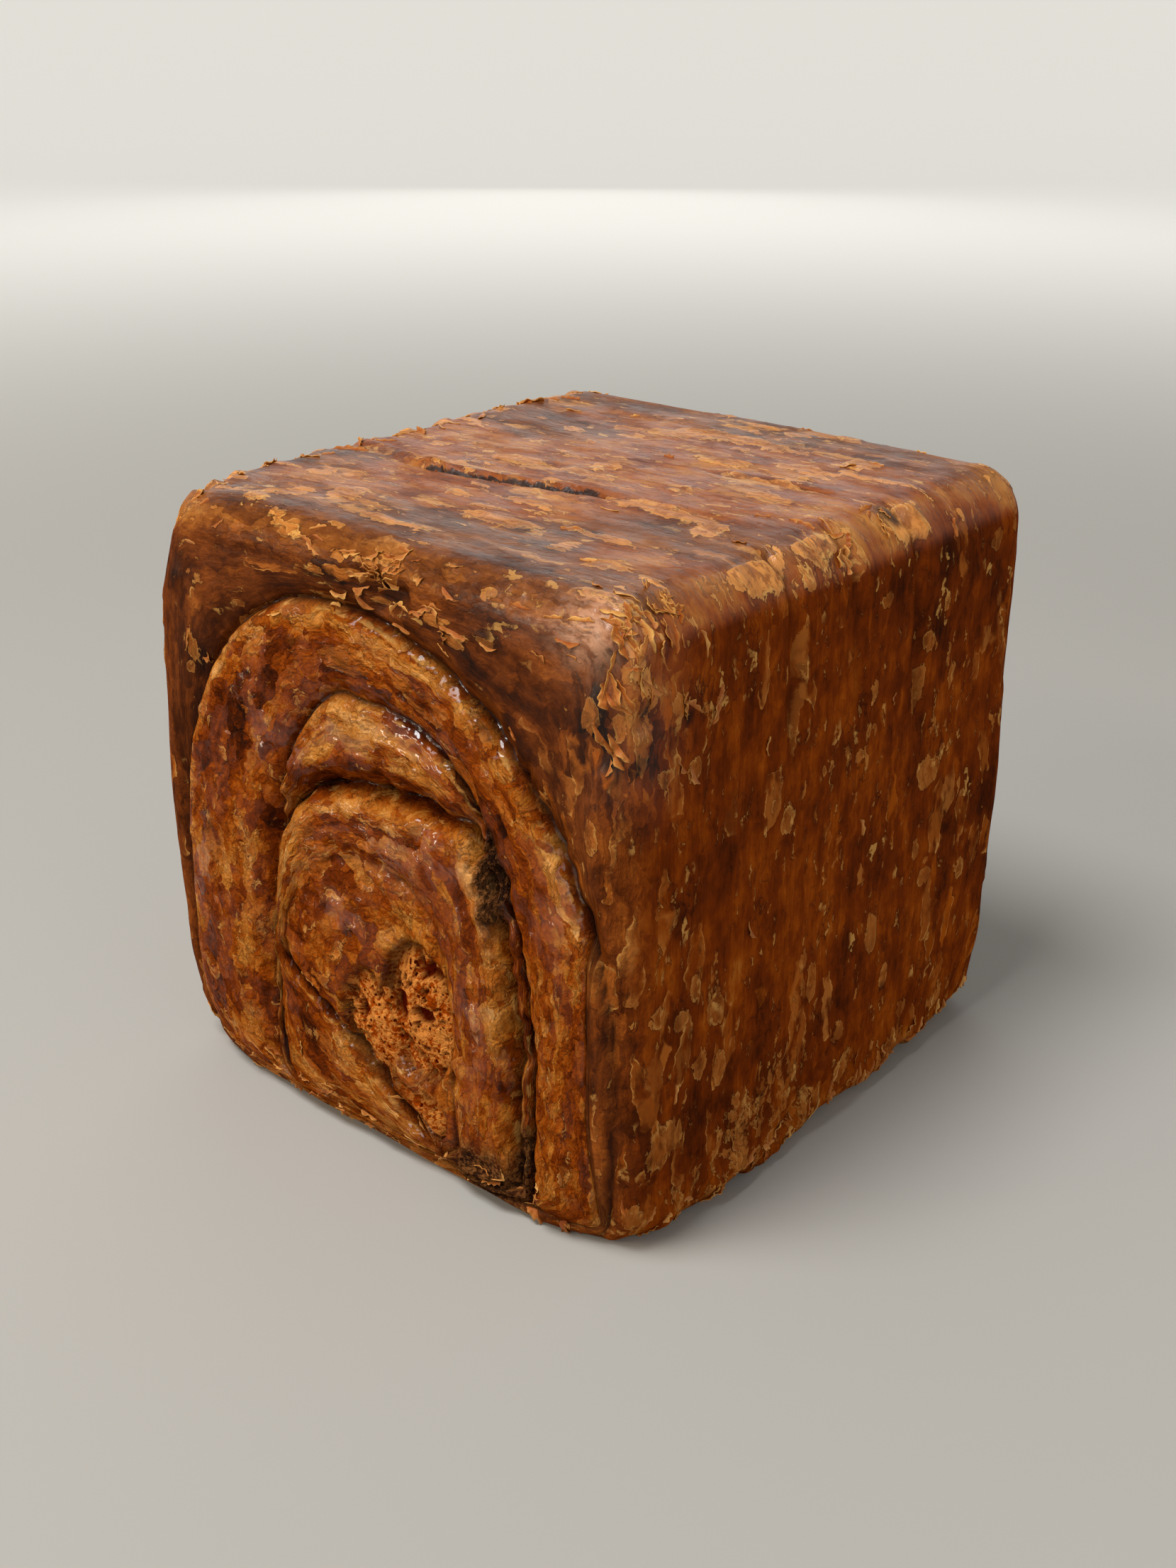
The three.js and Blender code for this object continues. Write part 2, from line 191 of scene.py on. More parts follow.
# %% Sizes of the roll's turns
TURNS = [
    dict(apex=-6.4, crown=102, left=-53.1, right=53.7, spring=33.5, square=(2.28, 2.0),
         depth=(3.2, 2.8, 2.2), curl=7.0, rim=1.8),
    dict(apex=-3.3, crown=87.8, left=-28.6, right=36.5, spring=24, square=(2.0, 2.6),
         depth=(1.9, 1.6, 2.4), curl=4.0, rim=2.0),
    dict(apex=21.9, crown=71.5, left=-26.8, right=33, spring=28.7, square=(3.8, 1.9),
         depth=(1.2, 5.0, 4.4), curl=6.0, rim=3.2),
    dict(apex=2, crown=58, left=-24, right=19, spring=30, square=(2.2, 2.8),
         depth=(0.3, 0.3, 0.6), curl=3.0, rim=2.4),
]
INNERMOST = len(TURNS) - 1
SLANT = dict(start=(-30.0, 34.6), end=(18.6, 1.0), depth=2.4, blend=7.0, grazing=0.05, lip=1.1, slope=6.5)
print("creases between turns:", len(TURNS), "and one slanting lip")

# %% [markdown]
# Creases of the roll
#
# On the coiled end the turns of the roll meet in arched creases. Each arch has upright legs and a rounded
# head. Where a ray from the heart meets an arch is found by halving a span, which works for any such shape.

# %% Where a ray meets a crease
HALVINGS = 40
FAR_OFF = 1e3


def turn_level(turn, x, z):
    """Give less than 1 inside a turn's arch, and more outside it."""
    left = x < turn["apex"]
    half = np.where(left, turn["apex"] - turn["left"], turn["right"] - turn["apex"])
    power = np.where(left, turn["square"][0], turn["square"][1])
    rise = np.maximum(0, (z - turn["spring"]) / (turn["crown"] - turn["spring"]))
    return (np.abs(x - turn["apex"]) / half) ** power + rise ** power


def turn_crossing(turn):
    near, far = np.zeros(columns), reach * 3
    for _ in range(HALVINGS):
        middle = (near + far) / 2
        inside = turn_level(turn, HEART_X + aim_x * middle, HEART_Z + aim_z * middle) < 1
        near, far = np.where(inside, middle, near), np.where(inside, far, middle)
    return far


def slant_crossing():
    start, end = np.array(SLANT["start"]), np.array(SLANT["end"])
    run = (end - start) / np.linalg.norm(end - start)
    outward = np.array([run[1], -run[0]])
    away = (start - np.array([HEART_X, HEART_Z])) @ outward
    facing = aim_x * outward[0] + aim_z * outward[1]
    return np.where(facing > SLANT["grazing"], away / np.maximum(facing, SLANT["grazing"]), FAR_OFF)


def turn_depth(turn):
    side = np.where(aim_x > 0, turn["depth"][2], turn["depth"][0])
    return mix(side, turn["depth"][1], np.maximum(aim_z, 0) ** 2)


print("the outer crease's head lies", round(float(turn_crossing(TURNS[0]).max()), 1), "mm from the heart")

# %% Where the creases lie, and how deep they are
CREASE_FOOT = dict(none=1.0, full=9.0, share=0.5)
WANDER = dict(width=0.55, size=9, apart=3.0, seed=11)

circle = np.stack([np.cos(2 * math.pi * around), np.sin(2 * math.pi * around)]) * girth / (2 * math.pi)


def round_noise(size, step, seed, octaves=2):
    """Give noise that runs round the roll once without a seam. Another step gives another pattern."""
    return noise((circle[0] / size, circle[1] / size, np.full(columns, step)), seed, octaves)


crease_at, crease_deep = [], []
for index, turn in enumerate(TURNS):
    at = turn_crossing(turn)
    above_foot = ease(CREASE_FOOT["none"], CREASE_FOOT["full"], HEART_Z + aim_z * at)
    wander = WANDER["width"] * round_noise(WANDER["size"], WANDER["apart"] * index, WANDER["seed"])
    crease_at.append(at + wander)
    crease_deep.append(turn_depth(turn) * mix(CREASE_FOOT["share"], 1, above_foot))
slant = slant_crossing()
slant_share = ease(-SLANT["blend"], SLANT["blend"], crease_at[INNERMOST] - slant)
joined = mix(crease_at[INNERMOST], np.minimum(slant, crease_at[INNERMOST] + SLANT["blend"]), slant_share)
crease_at[INNERMOST] = np.minimum(joined, crease_at[INNERMOST])
crease_deep[INNERMOST] = mix(crease_deep[INNERMOST], SLANT["depth"], slant_share)
for index, at in enumerate(crease_at):
    print("crease", index, "lies", round(float(at.min()), 1), "to", round(float(at.max()), 1), "mm out")

# %% [markdown]
# Rows of the crust
#
# The crust is one closed skin of rings: out from the heart over the coiled end, round its edge, along the
# roll, and in again over the far end. On the ends, the rings follow the creases, so each crease is a clean
# line of the mesh and never a saw-tooth across it.

# %% Rows on a coiled end
FRONT_ROWS = (36, 20, 18, 24, 18)
BACK_ROWS = (11, 11, 11, 13, 10)
BANDS = len(FRONT_ROWS)
CREASE_GAP = 1.2
RIM_SHARE = 0.02
DENSER = 0.55


def end_distances(band_rows):
    stops = [np.zeros(columns)]
    for index, at in enumerate(reversed(crease_at)):
        limit = reach * (1 - (len(TURNS) - index) * RIM_SHARE)
        stops.append(np.minimum(np.maximum(at, stops[-1] + CREASE_GAP), limit))
    stops.append(reach)
    rows, bands = [], []
    for index, count in enumerate(band_rows):
        t = np.arange(1, count + 1) / count
        t = t - DENSER * np.sin(2 * math.pi * t) / (2 * math.pi)
        rows += [mix(stops[index], stops[index + 1], part) for part in t]
        bands += [np.full(columns, index + part) for part in t]
    return np.array(rows[:-1]), np.array(bands[:-1])


front_distance, front_band = end_distances(FRONT_ROWS)
back_distance, back_band = end_distances(BACK_ROWS)
print("rows on the front end:", len(front_distance), "and on the back end:", len(back_distance))

# %% [markdown]
# Sheets of rows
#
# A sheet is a run of rows: its places, its outward directions, how far it is from the heart, which turn of
# the roll it is on, how far it has turned from the end to the side, and a way along the dough. That last one
# lets noise run on from the side of the loaf over its edge, as the fibres of the dough do.

# %% Rows over the two ends
TURN_WIDTH = 14.0
EDGE_ARC = math.pi / 2 - 1


def end_sheet(distance, band, facing):
    shape = distance.shape
    place_y = np.full(shape, facing * DEPTH / 2)
    place = np.stack([HEART_X + aim_x * distance, place_y, HEART_Z + aim_z * distance], -1)
    out = np.broadcast_to([0.0, facing, 0.0], place.shape)
    inward = TURN_WIDTH * (BANDS - band) + EDGE_ARC * edge * band / BANDS
    return place, out, distance, band, np.zeros(shape), facing * (DEPTH / 2 + inward)


front_sheet = end_sheet(front_distance, front_band, -1)
back_sheet = end_sheet(back_distance, back_band, 1)
print("points on the two ends:", front_distance.size + back_distance.size)

# %% Rows round the two end edges
EDGE_ROWS = 13


def edge_sheet(facing):
    angle = (math.pi / 2 * np.arange(EDGE_ROWS) / EDGE_ROWS)[:, None]
    sin, cos = np.sin(angle), np.cos(angle)
    place_y = facing * (DEPTH / 2 - edge + edge * cos)
    shape = place_y.shape
    place = np.stack([shoulder_x + normal_x * edge * sin, place_y, shoulder_z + normal_z * edge * sin], -1)
    out = np.stack([normal_x * sin, np.broadcast_to(facing * cos, shape), normal_z * sin], -1)
    flow = facing * (DEPTH / 2 - edge + edge * (math.pi / 2 - angle))
    turned = np.broadcast_to(angle / (math.pi / 2), shape)
    return place, out, reach + edge * angle, np.full(shape, float(BANDS)), turned, flow


front_edge_sheet, back_edge_sheet = edge_sheet(-1), edge_sheet(1)
print("points on each end edge:", EDGE_ROWS * columns)

# %% Rows along the roll, and all rows in one
SKIN_ROWS = 106


def skin_sheet():
    t = (np.arange(SKIN_ROWS + 1) / SKIN_ROWS)[:, None]
    place_y = mix(edge - DEPTH / 2, DEPTH / 2 - edge, t)
    shape = place_y.shape
    place = np.stack([np.broadcast_to(rim_x, shape), place_y, np.broadcast_to(rim_z, shape)], -1)
    out = np.stack([np.broadcast_to(normal_x, shape), np.zeros(shape), np.broadcast_to(normal_z, shape)], -1)
    distance = np.broadcast_to(reach + edge * math.pi / 2, shape)
    return place, out, distance, np.full(shape, float(BANDS)), np.ones(shape), place_y


sheets = [front_sheet, front_edge_sheet, skin_sheet()]
sheets += [[part[::-1] for part in sheet] for sheet in (back_edge_sheet, back_sheet)]
place, out, distance, band, turned, flow = (np.concatenate(parts) for parts in zip(*sheets))
rows = len(place)
print("rows:", rows, "points:", rows * columns, "triangles:", 2 * rows * columns)

# %% Masks and noise on the rows
front_rows = len(front_distance) + EDGE_ROWS
back_rows = len(back_distance) + EDGE_ROWS
on_front = (np.arange(rows) < front_rows)[:, None] * (1 - turned)
on_back = (np.arange(rows) >= rows - back_rows)[:, None] * (1 - turned)
on_ends = on_front + on_back
across, along, upward = place[..., 0], place[..., 1], place[..., 2]
ring = np.stack([across, upward, flow], -1)


def streak(round_roll, along_roll, seed, octaves=2):
    """Give noise of one size round the roll and another along it."""
    return noise((across / round_roll, upward / round_roll, flow / along_roll), seed, octaves)


def grain(size, seed, octaves=2):
    """Give noise of the same size in every direction."""
    return noise((across / size, along / size, upward / size), seed, octaves)


def oval(x, z, half_width, half_height):
    """Give 0 in the middle of an oval on the coiled end, 1 on its rim and more outside."""
    return np.hypot((across - x) / half_width, (upward - z) / half_height)


front_count, back_count = (int((on_end > 0.5).sum()) for on_end in (on_front, on_back))
print("points on the front end:", front_count, "and on the back end:", back_count)

# %% [markdown]
# Relief of the coiled ends
#
# Two turns meet in a sharp valley with round shoulders: the outer turn curls in slowly, the inner one rises
# steeply. A groove cut with a round tool would be the same on both sides, so each side has its own width.

# %% Creases and full turns
TURN_FULLNESS = 0.9
CREASE_UNEVEN = dict(share=0.45, size=6, apart=5.0, seed=15)

outside = [distance - at for at in crease_at]
valley = np.zeros(distance.shape)
crease_uneven = []
for index, (turn, deep, away) in enumerate(zip(TURNS, crease_deep, outside)):
    swing = round_noise(CREASE_UNEVEN["size"], CREASE_UNEVEN["apart"] * index, CREASE_UNEVEN["seed"])
    uneven = 1 + CREASE_UNEVEN["share"] * swing
    curl, rim = turn["curl"], turn["rim"]
    if index == INNERMOST:
        curl, rim = mix(curl, SLANT["lip"], slant_share), mix(rim, SLANT["slope"], slant_share)
    width = np.where(away > 0, curl, rim) * (0.5 + 0.5 * uneven)
    valley += deep * uneven * (1 - np.clip(np.abs(away) / width, 0, 1)) ** 2
    crease_uneven.append(uneven)
part_of_turn = np.clip(band, 0, BANDS) % 1
fullness = TURN_FULLNESS * (1 - (2 * part_of_turn - 1) ** 2) * ((band > 1) & (band < 4))
dome = SWELL["end"] * (1 - np.clip(distance / reach, 0, 1) ** 2)
print("deepest crease:", round(float(valley.max()), 2), "mm")

# %% [markdown]
# The torn heart
#
# At the heart the crust has torn away and shows the crumb: a few hollow lobes full of pores, with a ragged
# rim. Booleans with hundreds of small balls would be slow and leave slivers, so the pores are pressed into
# the rows as the distance to the nearest of many scattered seeds.

# %% Hollow lobes of the crumb
CRUMB_HOLLOWS = [(-1.4, 24.2, 7.0, 12.4, 2.1), (11, 32.5, 8.6, 13.6, 2.4), (11.5, 11.2, 5.4, 4.7, 1.3)]
CRUMB_DOME = 1.7


def close(distance_away, width):
    """Give 1 at no distance, and fade to 0 over about the width."""
    return np.exp(-(distance_away / width) ** 2)


ragged = 0.16 * grain(2.6, 21, 3)
inner_end = on_front * (1 - ease(0.96, 1.03, band))
crumb, hollow, lobe = (np.zeros(distance.shape) for _ in range(3))
lobe_edge = np.full(distance.shape, 9.0)
for *middle_and_halves, deep in CRUMB_HOLLOWS:
    away = oval(*middle_and_halves) + 0.4 * ragged
    inside = (1 - ease(0.95, 1.03, away)) * inner_end
    crumb = np.maximum(crumb, inside)
    hollow = np.maximum(hollow, deep * inside)
    lobe = np.maximum(lobe, CRUMB_DOME * np.clip(1 - away ** 2, 0, 1) * inside)
    lobe_edge = np.minimum(lobe_edge, away)
print("crumb points:", int((crumb > 0.5).sum()))

# %% Pores, and the tear under the top edge
BIG_PORES = [
    (5.2, 31.5, 1.9, 3.2), (11.5, 32.0, 2.4, 1.6), (-4.0, 27.5, 1.2, 2.4), (6.5, 25.0, 1.6, 1.2),
    (13, 41, 3, 1.1),
]
PORE_SIZE, PORE_DEPTH = 2.6, 1.5
CRUMB_GRAIN, CRUMB_RIM = 0.5, 0.45
TEAR, TEAR_DEPTH = (5.0, 107.0, 7.5, 4.0), 2.2


def nearest_seed(size, seed):
    """Give the distance to the nearest of the seeds that are scattered one to each lattice square."""
    x, z = across / size, upward / size
    i, k = np.floor(x).astype(np.int64), np.floor(z).astype(np.int64)
    best = np.full(x.shape, 9.0)
    for di in (-1, 0, 1):
        for dk in (-1, 0, 1):
            a, c = i + di, k + dk
            jitter_x = 0.5 + 0.45 * lattice(a, c * 0, c, seed)
            jitter_z = 0.5 + 0.45 * lattice(a, c * 0 + 7, c, seed)
            best = np.minimum(best, np.hypot(a + jitter_x - x, c + jitter_z - z))
    return best


pore = 1 - ease(0.10, 0.26, nearest_seed(PORE_SIZE, 31) + 0.2 * grain(1.6, 33) + 0.35 * grain(7, 34))
for big_pore in BIG_PORES:
    pore = np.maximum(pore, 1 - ease(0.7, 1.2, oval(*big_pore) + ragged))
crumb_relief = lobe + crumb * (CRUMB_GRAIN * grain(1.7, 37, 2) - PORE_DEPTH * pore)
crumb_rim = close(lobe_edge - 1.14, 0.08) * (1 - ease(0.02, 0.2, crumb)) * inner_end
tear = (1 - ease(0.5, 1.1, oval(*TEAR) + 3.2 * ragged)) * on_front
end_relief = dome + fullness - valley - hollow + crumb_relief + CRUMB_RIM * crumb_rim - TEAR_DEPTH * tear
print("pore points:", int((pore * crumb > 0.5).sum()), "and torn points:", int((tear > 0.5).sum()))

# %% [markdown]
# Relief of the skin
#
# Round the roll, the outer layer is pleated and cracked. The pleats end in flake tips on the left top edge.
# The solid has them too, a little plainer. A bump in the shader would be lighter, but the tips have to show
# at the outline, so they move the points.

# %% Pleats
PLEAT_PITCH, PLEAT_FOOT, PLEAT_TIP = 9.2, 0.12, 0.88
PLEAT_HEIGHT = {"edge": 3.0, "face": 0.22}
PLEAT_WANDER = dict(width=9.0, size=19, seed=41)
PLEAT_UNEVEN = dict(least=0.7, share=0.9, step=3.1, size=22)


def lump_value(i, j, k):
    """Give the same random value as the solid's own lumps."""
    value = np.sin(i * 12.9898 + j * 78.233 + k * 37.719) * 437.585453
    return 2 * (value - np.floor(value)) - 1


def solid_lump(x, y, z):
    return blended((x, y, z), lump_value)


skin_x, skin_z = np.broadcast_to(rim_x, flow.shape), np.broadcast_to(rim_z, flow.shape)
nowhere = skin_x * 0
standing = ease(0, 0.5, np.maximum(np.abs(normal_x), normal_z))
tip_edge = ease(0.25, 0.6, -normal_x) * ease(0.25, 0.6, normal_z)
pleat_wander = noise((along / PLEAT_WANDER["size"], nowhere, nowhere), PLEAT_WANDER["seed"], 3)
tooth = (along + DEPTH + PLEAT_WANDER["width"] * pleat_wander) / PLEAT_PITCH
tooth_index = np.floor(tooth)
tooth_rise = ease(0, 1, (tooth - tooth_index - PLEAT_FOOT) / (PLEAT_TIP - PLEAT_FOOT))
tooth_x, tooth_z = (axis / PLEAT_UNEVEN["size"] for axis in (skin_x, skin_z))
lump_of_tooth = solid_lump(tooth_index * PLEAT_UNEVEN["step"], tooth_x, tooth_z)
tooth_height = PLEAT_UNEVEN["least"] + PLEAT_UNEVEN["share"] * lump_of_tooth
pleat = mix(PLEAT_HEIGHT["face"], PLEAT_HEIGHT["edge"], tip_edge) * tooth_height * (tooth_rise - 0.5)
print("pleats along the loaf:", int(tooth_index.max() - tooth_index.min()) + 1)

# %% [markdown]
# Folds and the top crack
#
# While it rose under the lid, the top split along one line and folded along others. Each is a valley with a
# lip beside it, on a line that wanders. Cutting them with thin blades would leave clean edges, which baked
# dough never has. The foot is lumpy and ragged in the same way, where the dough was pressed into the tin.

# %% Folds and the top crack
CRACK_DEPTH = 2.4
FOLDS = [
    dict(face="top", start=(-48, -14), stop=(-25, -19), depth=0.5, half=1.4, lip=0.8),
    dict(face="top", start=(-26, -18.5), stop=(8, -13), depth=CRACK_DEPTH, half=1.1, lip=0.7),
    dict(face="top", start=(14, -12.5), stop=(40, -11.5), depth=0.3, half=1.4, lip=0.4),
    dict(face="top", start=(18, 13.5), stop=(36, 14.5), depth=1.1, half=1.6, lip=0.4),
    dict(face="right", start=(82, -16), stop=(122, -19), depth=1.4, half=2.6, lip=0.4),
    dict(face="right", start=(86, 1.5), stop=(122, -3), depth=1.2, half=2.6, lip=0.5),
    dict(face="right", start=(78, 22.5), stop=(122, 16), depth=1.6, half=2.6, lip=0.6),
    dict(face="right", start=(0, -23), stop=(17, 2), depth=1.3, half=1.6, lip=0.9),
]
FOLD_FADE = 7.0
FOLD_WANDER = dict(width=0.9, size=11, seed=43)
LIP_AWAY = 1.6
FOLD_SHADE_DEPTH = 2.2

# The bottom of each fold except the crack gets painted shade. It is kept here and darkened in the colour
# later.
fold_depth = np.zeros(flow.shape)
fold_shade = np.zeros(flow.shape)
for fold in FOLDS:
    position, facing = (skin_x, normal_z) if fold["face"] == "top" else (skin_z, normal_x)
    (start, start_along), (stop, stop_along) = fold["start"], fold["stop"]
    middle = mix(start_along, stop_along, np.clip((position - start) / (stop - start), 0, 1))
    fold_place = (skin_x / FOLD_WANDER["size"], skin_z / FOLD_WANDER["size"], nowhere + start_along)
    away = along - middle - FOLD_WANDER["width"] * noise(fold_place, FOLD_WANDER["seed"], 2)
    within = ease(start - FOLD_FADE, start, position) * (1 - ease(stop, stop + FOLD_FADE, position))
    within = within * ease(0.1, 0.6, facing)
    cut = (1 - np.clip(np.abs(away) / fold["half"], 0, 1)) ** 2
    lip = fold["lip"] * close(away - LIP_AWAY * fold["half"], fold["half"])
    fold_depth += within * (fold["depth"] * cut - lip)
    if fold["depth"] == CRACK_DEPTH:
        crack_away, crack_open = away, within
    else:
        fold_shade = np.maximum(fold_shade, within * cut * min(fold["depth"] / FOLD_SHADE_DEPTH, 1))
print("deepest fold:", round(float(fold_depth.max()), 2), "mm")

# %% Lumps and the ragged foot
LUMP = dict(height=0.8, size=26.0)
RAGGED_FOOT = dict(height=1.6, size=8.0, reach=16.0)

lumps = LUMP["height"] * solid_lump(skin_x / LUMP["size"], along / LUMP["size"], skin_z / LUMP["size"])
foot_height = RAGGED_FOOT["height"] * (1 - ease(0, RAGGED_FOOT["reach"], skin_z)) * np.abs(normal_x)
foot_lump = solid_lump(along / RAGGED_FOOT["size"], skin_z / RAGGED_FOOT["size"], np.sign(skin_x) * 5)
skin_relief = standing * (pleat + lumps + foot_height * foot_lump - fold_depth)
print("skin relief:", round(float(skin_relief.min()), 2), "to", round(float(skin_relief.max()), 2), "mm")

# %% [markdown]
# Flakes
#
# The outermost layers lift off in thin flakes, longer round the roll than along it. A field of stretched
# noise says where they are: above zero a flake stands. The field shapes the mesh here and colours it later,
# so the pale patches of the crust are the same ones that stand up from it.

# %% Faces, edges and special places of the crust
FACE_START, EDGE_START = (0.55, 0.95), (0.2, 0.5)


def facing_side(direction):
    return ease(*FACE_START, np.broadcast_to(direction, flow.shape)) * turned


def ridged(field, sharpness):
    """Turn noise into sharp ridges where it passes zero."""
    return 1 - sharpness * np.abs(field)


top_face, right_face, left_face = (facing_side(direction) for direction in (normal_z, normal_x, -normal_x))
top_left_edge = ease(*EDGE_START, -normal_x) * ease(*EDGE_START, normal_z) * turned
top_right_edge = ease(*EDGE_START, normal_x) * ease(*EDGE_START, normal_z) * turned
end_edge = close(turned - 0.45, 0.3) * (turned < 1)
foot_edge = 1 - ease(2, 15, upward + 3 * grain(9, 51, 2))
bottom = ease(0.3, 0.9, -np.broadcast_to(normal_z, flow.shape)) * turned
wrap = ease(3.98, 4.04, band) * (1 - turned) * on_ends
inner_turns = on_ends * (1 - ease(3.9, 4.1, band))
near_corner = close(across - 56, 8) * close(along + 57, 9) * ease(74, 92, upward)
left_corner = close(across + 52, 11) * close(along + 57, 9) * ease(98, 108, upward)
crown_tear = close(across - 8, 13) * close(upward - 106.5, 5) * on_front
crumple = 1.3 * ridged(grain(6.5, 53, 2), 3) - 0.5
print("points on the top:", int((top_face > 0.5).sum()), "and on the wrap:", int((wrap > 0.5).sum()))

# %% [markdown]
# Films that stand out
#
# Some flakes of the real loaf are landmarks: the eye finds them again at once. Those are listed as ovals with
# ragged rims, in millimetres on their face, and noise only fills the crust between them.

# %% Films at their places
FACE_AXES = {"top": (0, 1), "right": (1, 2), "front": (0, 2)}
FACE_SHARE = {
    "top": ease(0.1, 0.5, normal_z) * turned,
    "right": ease(0.1, 0.5, normal_x) * turned,
    "front": on_front,
}
FILM_SPOTS = {
    "top": [
        (4, 37, 15, 3.2), (-6, 34, 7, 2), (12, 21, 6, 2.6), (26, 27, 6, 2.6), (28, 14, 9, 1.8),
        (-15, -4, 7, 2.6), (0, 2, 3, 3.4), (34, 5, 5, 2), (0, -4, 6, 1.8), (-27, -14, 9, 2.6),
        (24, -13, 15, 2.4), (38, -16, 3, 4), (4, -23, 5, 2), (28, -31, 7, 1.8), (8, -35, 9, 2.4),
        (-22, -41, 4, 4), (-6, -48, 5, 1.6), (-30, -47, 3, 3), (26, -40, 2, 4), (-32, -30, 2, 3),
        (33, 36, 3, 3), (-27, 24, 3, 2), (10, 48, 3, 2), (-18, 31, 4, 1.6),
    ],
    "right": [
        (6.5, 85, 1.6, 2.6), (23.5, 90, 1.8, 2.2), (22, 80, 2, 4.6), (29, 96, 1.4, 2),
        (8, 101, 1.8, 1.4), (-17.5, 69, 2, 2.8), (28, 63, 2.6, 4), (-36, 41, 2, 3.2),
        (-34.5, 29, 1.7, 3.6), (-40.5, 32, 2.4, 2.8), (29, 41, 2.4, 1.8), (11.5, 36, 2, 4.4),
        (-7.5, 34, 1.5, 4), (42, 38, 1.6, 3.2), (17, 24, 1.6, 3.4), (26, 13, 1.6, 3), (5, 9, 3, 2.6),
        (23, 6, 3, 3.4), (39, 9, 3, 2.4), (-50, 21, 6, 4), (-43, 86, 1.6, 2), (-52, 46, 3, 2.4),
        (-46, 43, 2, 2), (-47, 98, 2, 1.8), (-41, 95, 1.6, 1.2), (-50, 87, 2, 1.6), (-7, 113, 5, 3),
        (-24, 113, 7, 4), (17, 112, 4, 4), (-6, 75, 1.4, 1.2), (3, 74, 1.2, 1), (45, 104, 2, 2),
    ],
    "front": [
        (-45.5, 86, 1.2, 2.6), (-47, 82, 0.9, 1.0), (-50, 62, 1.2, 1.2), (-32, 97, 1.4, 1.0),
        (0, 108.5, 2.6, 1.1), (9, 110.5, 3.4, 1.0), (17, 105, 3.4, 1.0), (21, 102.5, 2.4, 0.8),
        (-11, 108, 3, 1.4), (3, 104.5, 2.2, 1.1), (50, 97.5, 1.8, 2.6), (54, 105, 4.6, 2.8),
        (52.5, 89.5, 1.5, 1.7), (57, 112, 3.2, 3), (43, 114, 6, 2.4), (24, 113, 6, 1.4),
        (-28, 113, 5, 1.2), (50, 78, 1.6, 3), (53, 84, 1.6, 3), (52, 60, 1.2, 3), (53, 20, 1.6, 6),
    ],
}
FILM_SLOPE, FILM_TOP = 0.6, 0.4

film_spot = np.full(flow.shape, -1.0)
film_ragged = 0.55 * grain(4.2, 69, 3) + 0.25 * streak(5, 1.8, 68, 2)
for face, ovals in FILM_SPOTS.items():
    first, second = (place[..., axis] for axis in FACE_AXES[face])
    for first_middle, second_middle, first_half, second_half in ovals:
        away = np.hypot((first - first_middle) / first_half, (second - second_middle) / second_half)
        spot_film = np.minimum(FILM_SLOPE * (1 - away - film_ragged), FILM_TOP)
        film_spot = np.maximum(film_spot, mix(-2, spot_film, FACE_SHARE[face]))
print("films set by hand:", sum(len(ovals) for ovals in FILM_SPOTS.values()))

# %% Where flakes stand, and how high
FLAKE_HEIGHT, FLAKE_LIP = 0.20, 0.12


def weigh(start, *terms):
    """Add to the start each mask times its weight."""
    total = start
    for weight, mask in terms:
        total = total + weight * mask
    return total


coverage = weigh(
    -0.40,
    (-0.02, top_face),
    (-0.13, right_face + left_face),
    (0.34, top_left_edge),
    (0.16, top_right_edge),
    (0.22, foot_edge),
    (0.2, end_edge * ease(60, 100, upward)),
    (-0.2, wrap),
    (-0.06, near_corner),
    (0.12, crown_tear),
    (0.2, grain(19, 67, 1)),
)
flake_noise = 0.85 * streak(9.5, 2.6, 61, 3) + 0.32 * grain(3.4, 65, 2)
flake = np.maximum(flake_noise + coverage, film_spot) * (1 - crumb) - 2 * crumb
flake_relief = FLAKE_HEIGHT * ease(0.0, 0.1, flake) + FLAKE_LIP * close(flake - 0.07, 0.06)
print("share of the crust under flakes:", round(float((flake > 0).mean()), 3))

# %% [markdown]
# Fibres, crumpled films and blisters
#
# Between the flakes the crust isn't smooth. Fibres run round the roll, the films of the coiled end are
# crumpled where steam left them slack, the foot is crumbly, and small blisters stand up. All are noise of
# the size of the real thing, pressed into the mesh, so that they also show at the outline.

# %% Fine relief of the crust
CRUMPLED = [
    (16, 67, 14, 6), (27, 60, 4, 9), (-22, 72, 5, 6), (0, 82, 14, 4), (-8, 46, 10, 6), (28, 30, 4, 14),
]
BLISTER_START, BLISTER_HEIGHT = 0.5, 1.2


def in_ovals(ovals):
    """Mark the places in or near any of some ovals on the coiled end."""
    return np.max([close(oval(*spot), 1.0) for spot in ovals], 0)


ridges = ridged(streak(6.5, 2.6, 77, 2), 3) + 0.8 * ridged(grain(4.2, 79, 2), 3)
crumpled_films = in_ovals(CRUMPLED) * on_front * ridged(grain(5.2, 94, 3), 3.2)
crumbly_away = np.hypot((along + 21) / 17, (upward - 9) / 13) + 0.5 * grain(6, 76, 2)
crumbly_foot = (1 - ease(0.7, 1.15, crumbly_away)) * right_face + 0.35 * foot_edge * (1 - on_ends)
fibre_relief = weigh(
    0.08 * streak(7, 2.3, 71, 2),
    (0.10, grain(7, 73, 2)),
    (0.28, inner_turns * ridges),
    (1.0, inner_turns * crumpled_films),
    (0.8, crumbly_foot * grain(2.6, 78, 2)),
    (0.8, near_corner * crumple),
)
blister = np.maximum(0, grain(5.5, 75, 1) - BLISTER_START) * BLISTER_HEIGHT * (1 - 0.7 * top_face)
print("fine relief:", round(float(fibre_relief.min()), 2), "to", round(float(fibre_relief.max()), 2), "mm")

# %% [markdown]
# Burnt corners
#
# Sugar and butter ran into a few corners between the turns and burnt there to a rough black crust. They are
# ovals with ragged rims, and a coarse grain makes them rough, because a dark stain alone would look painted.

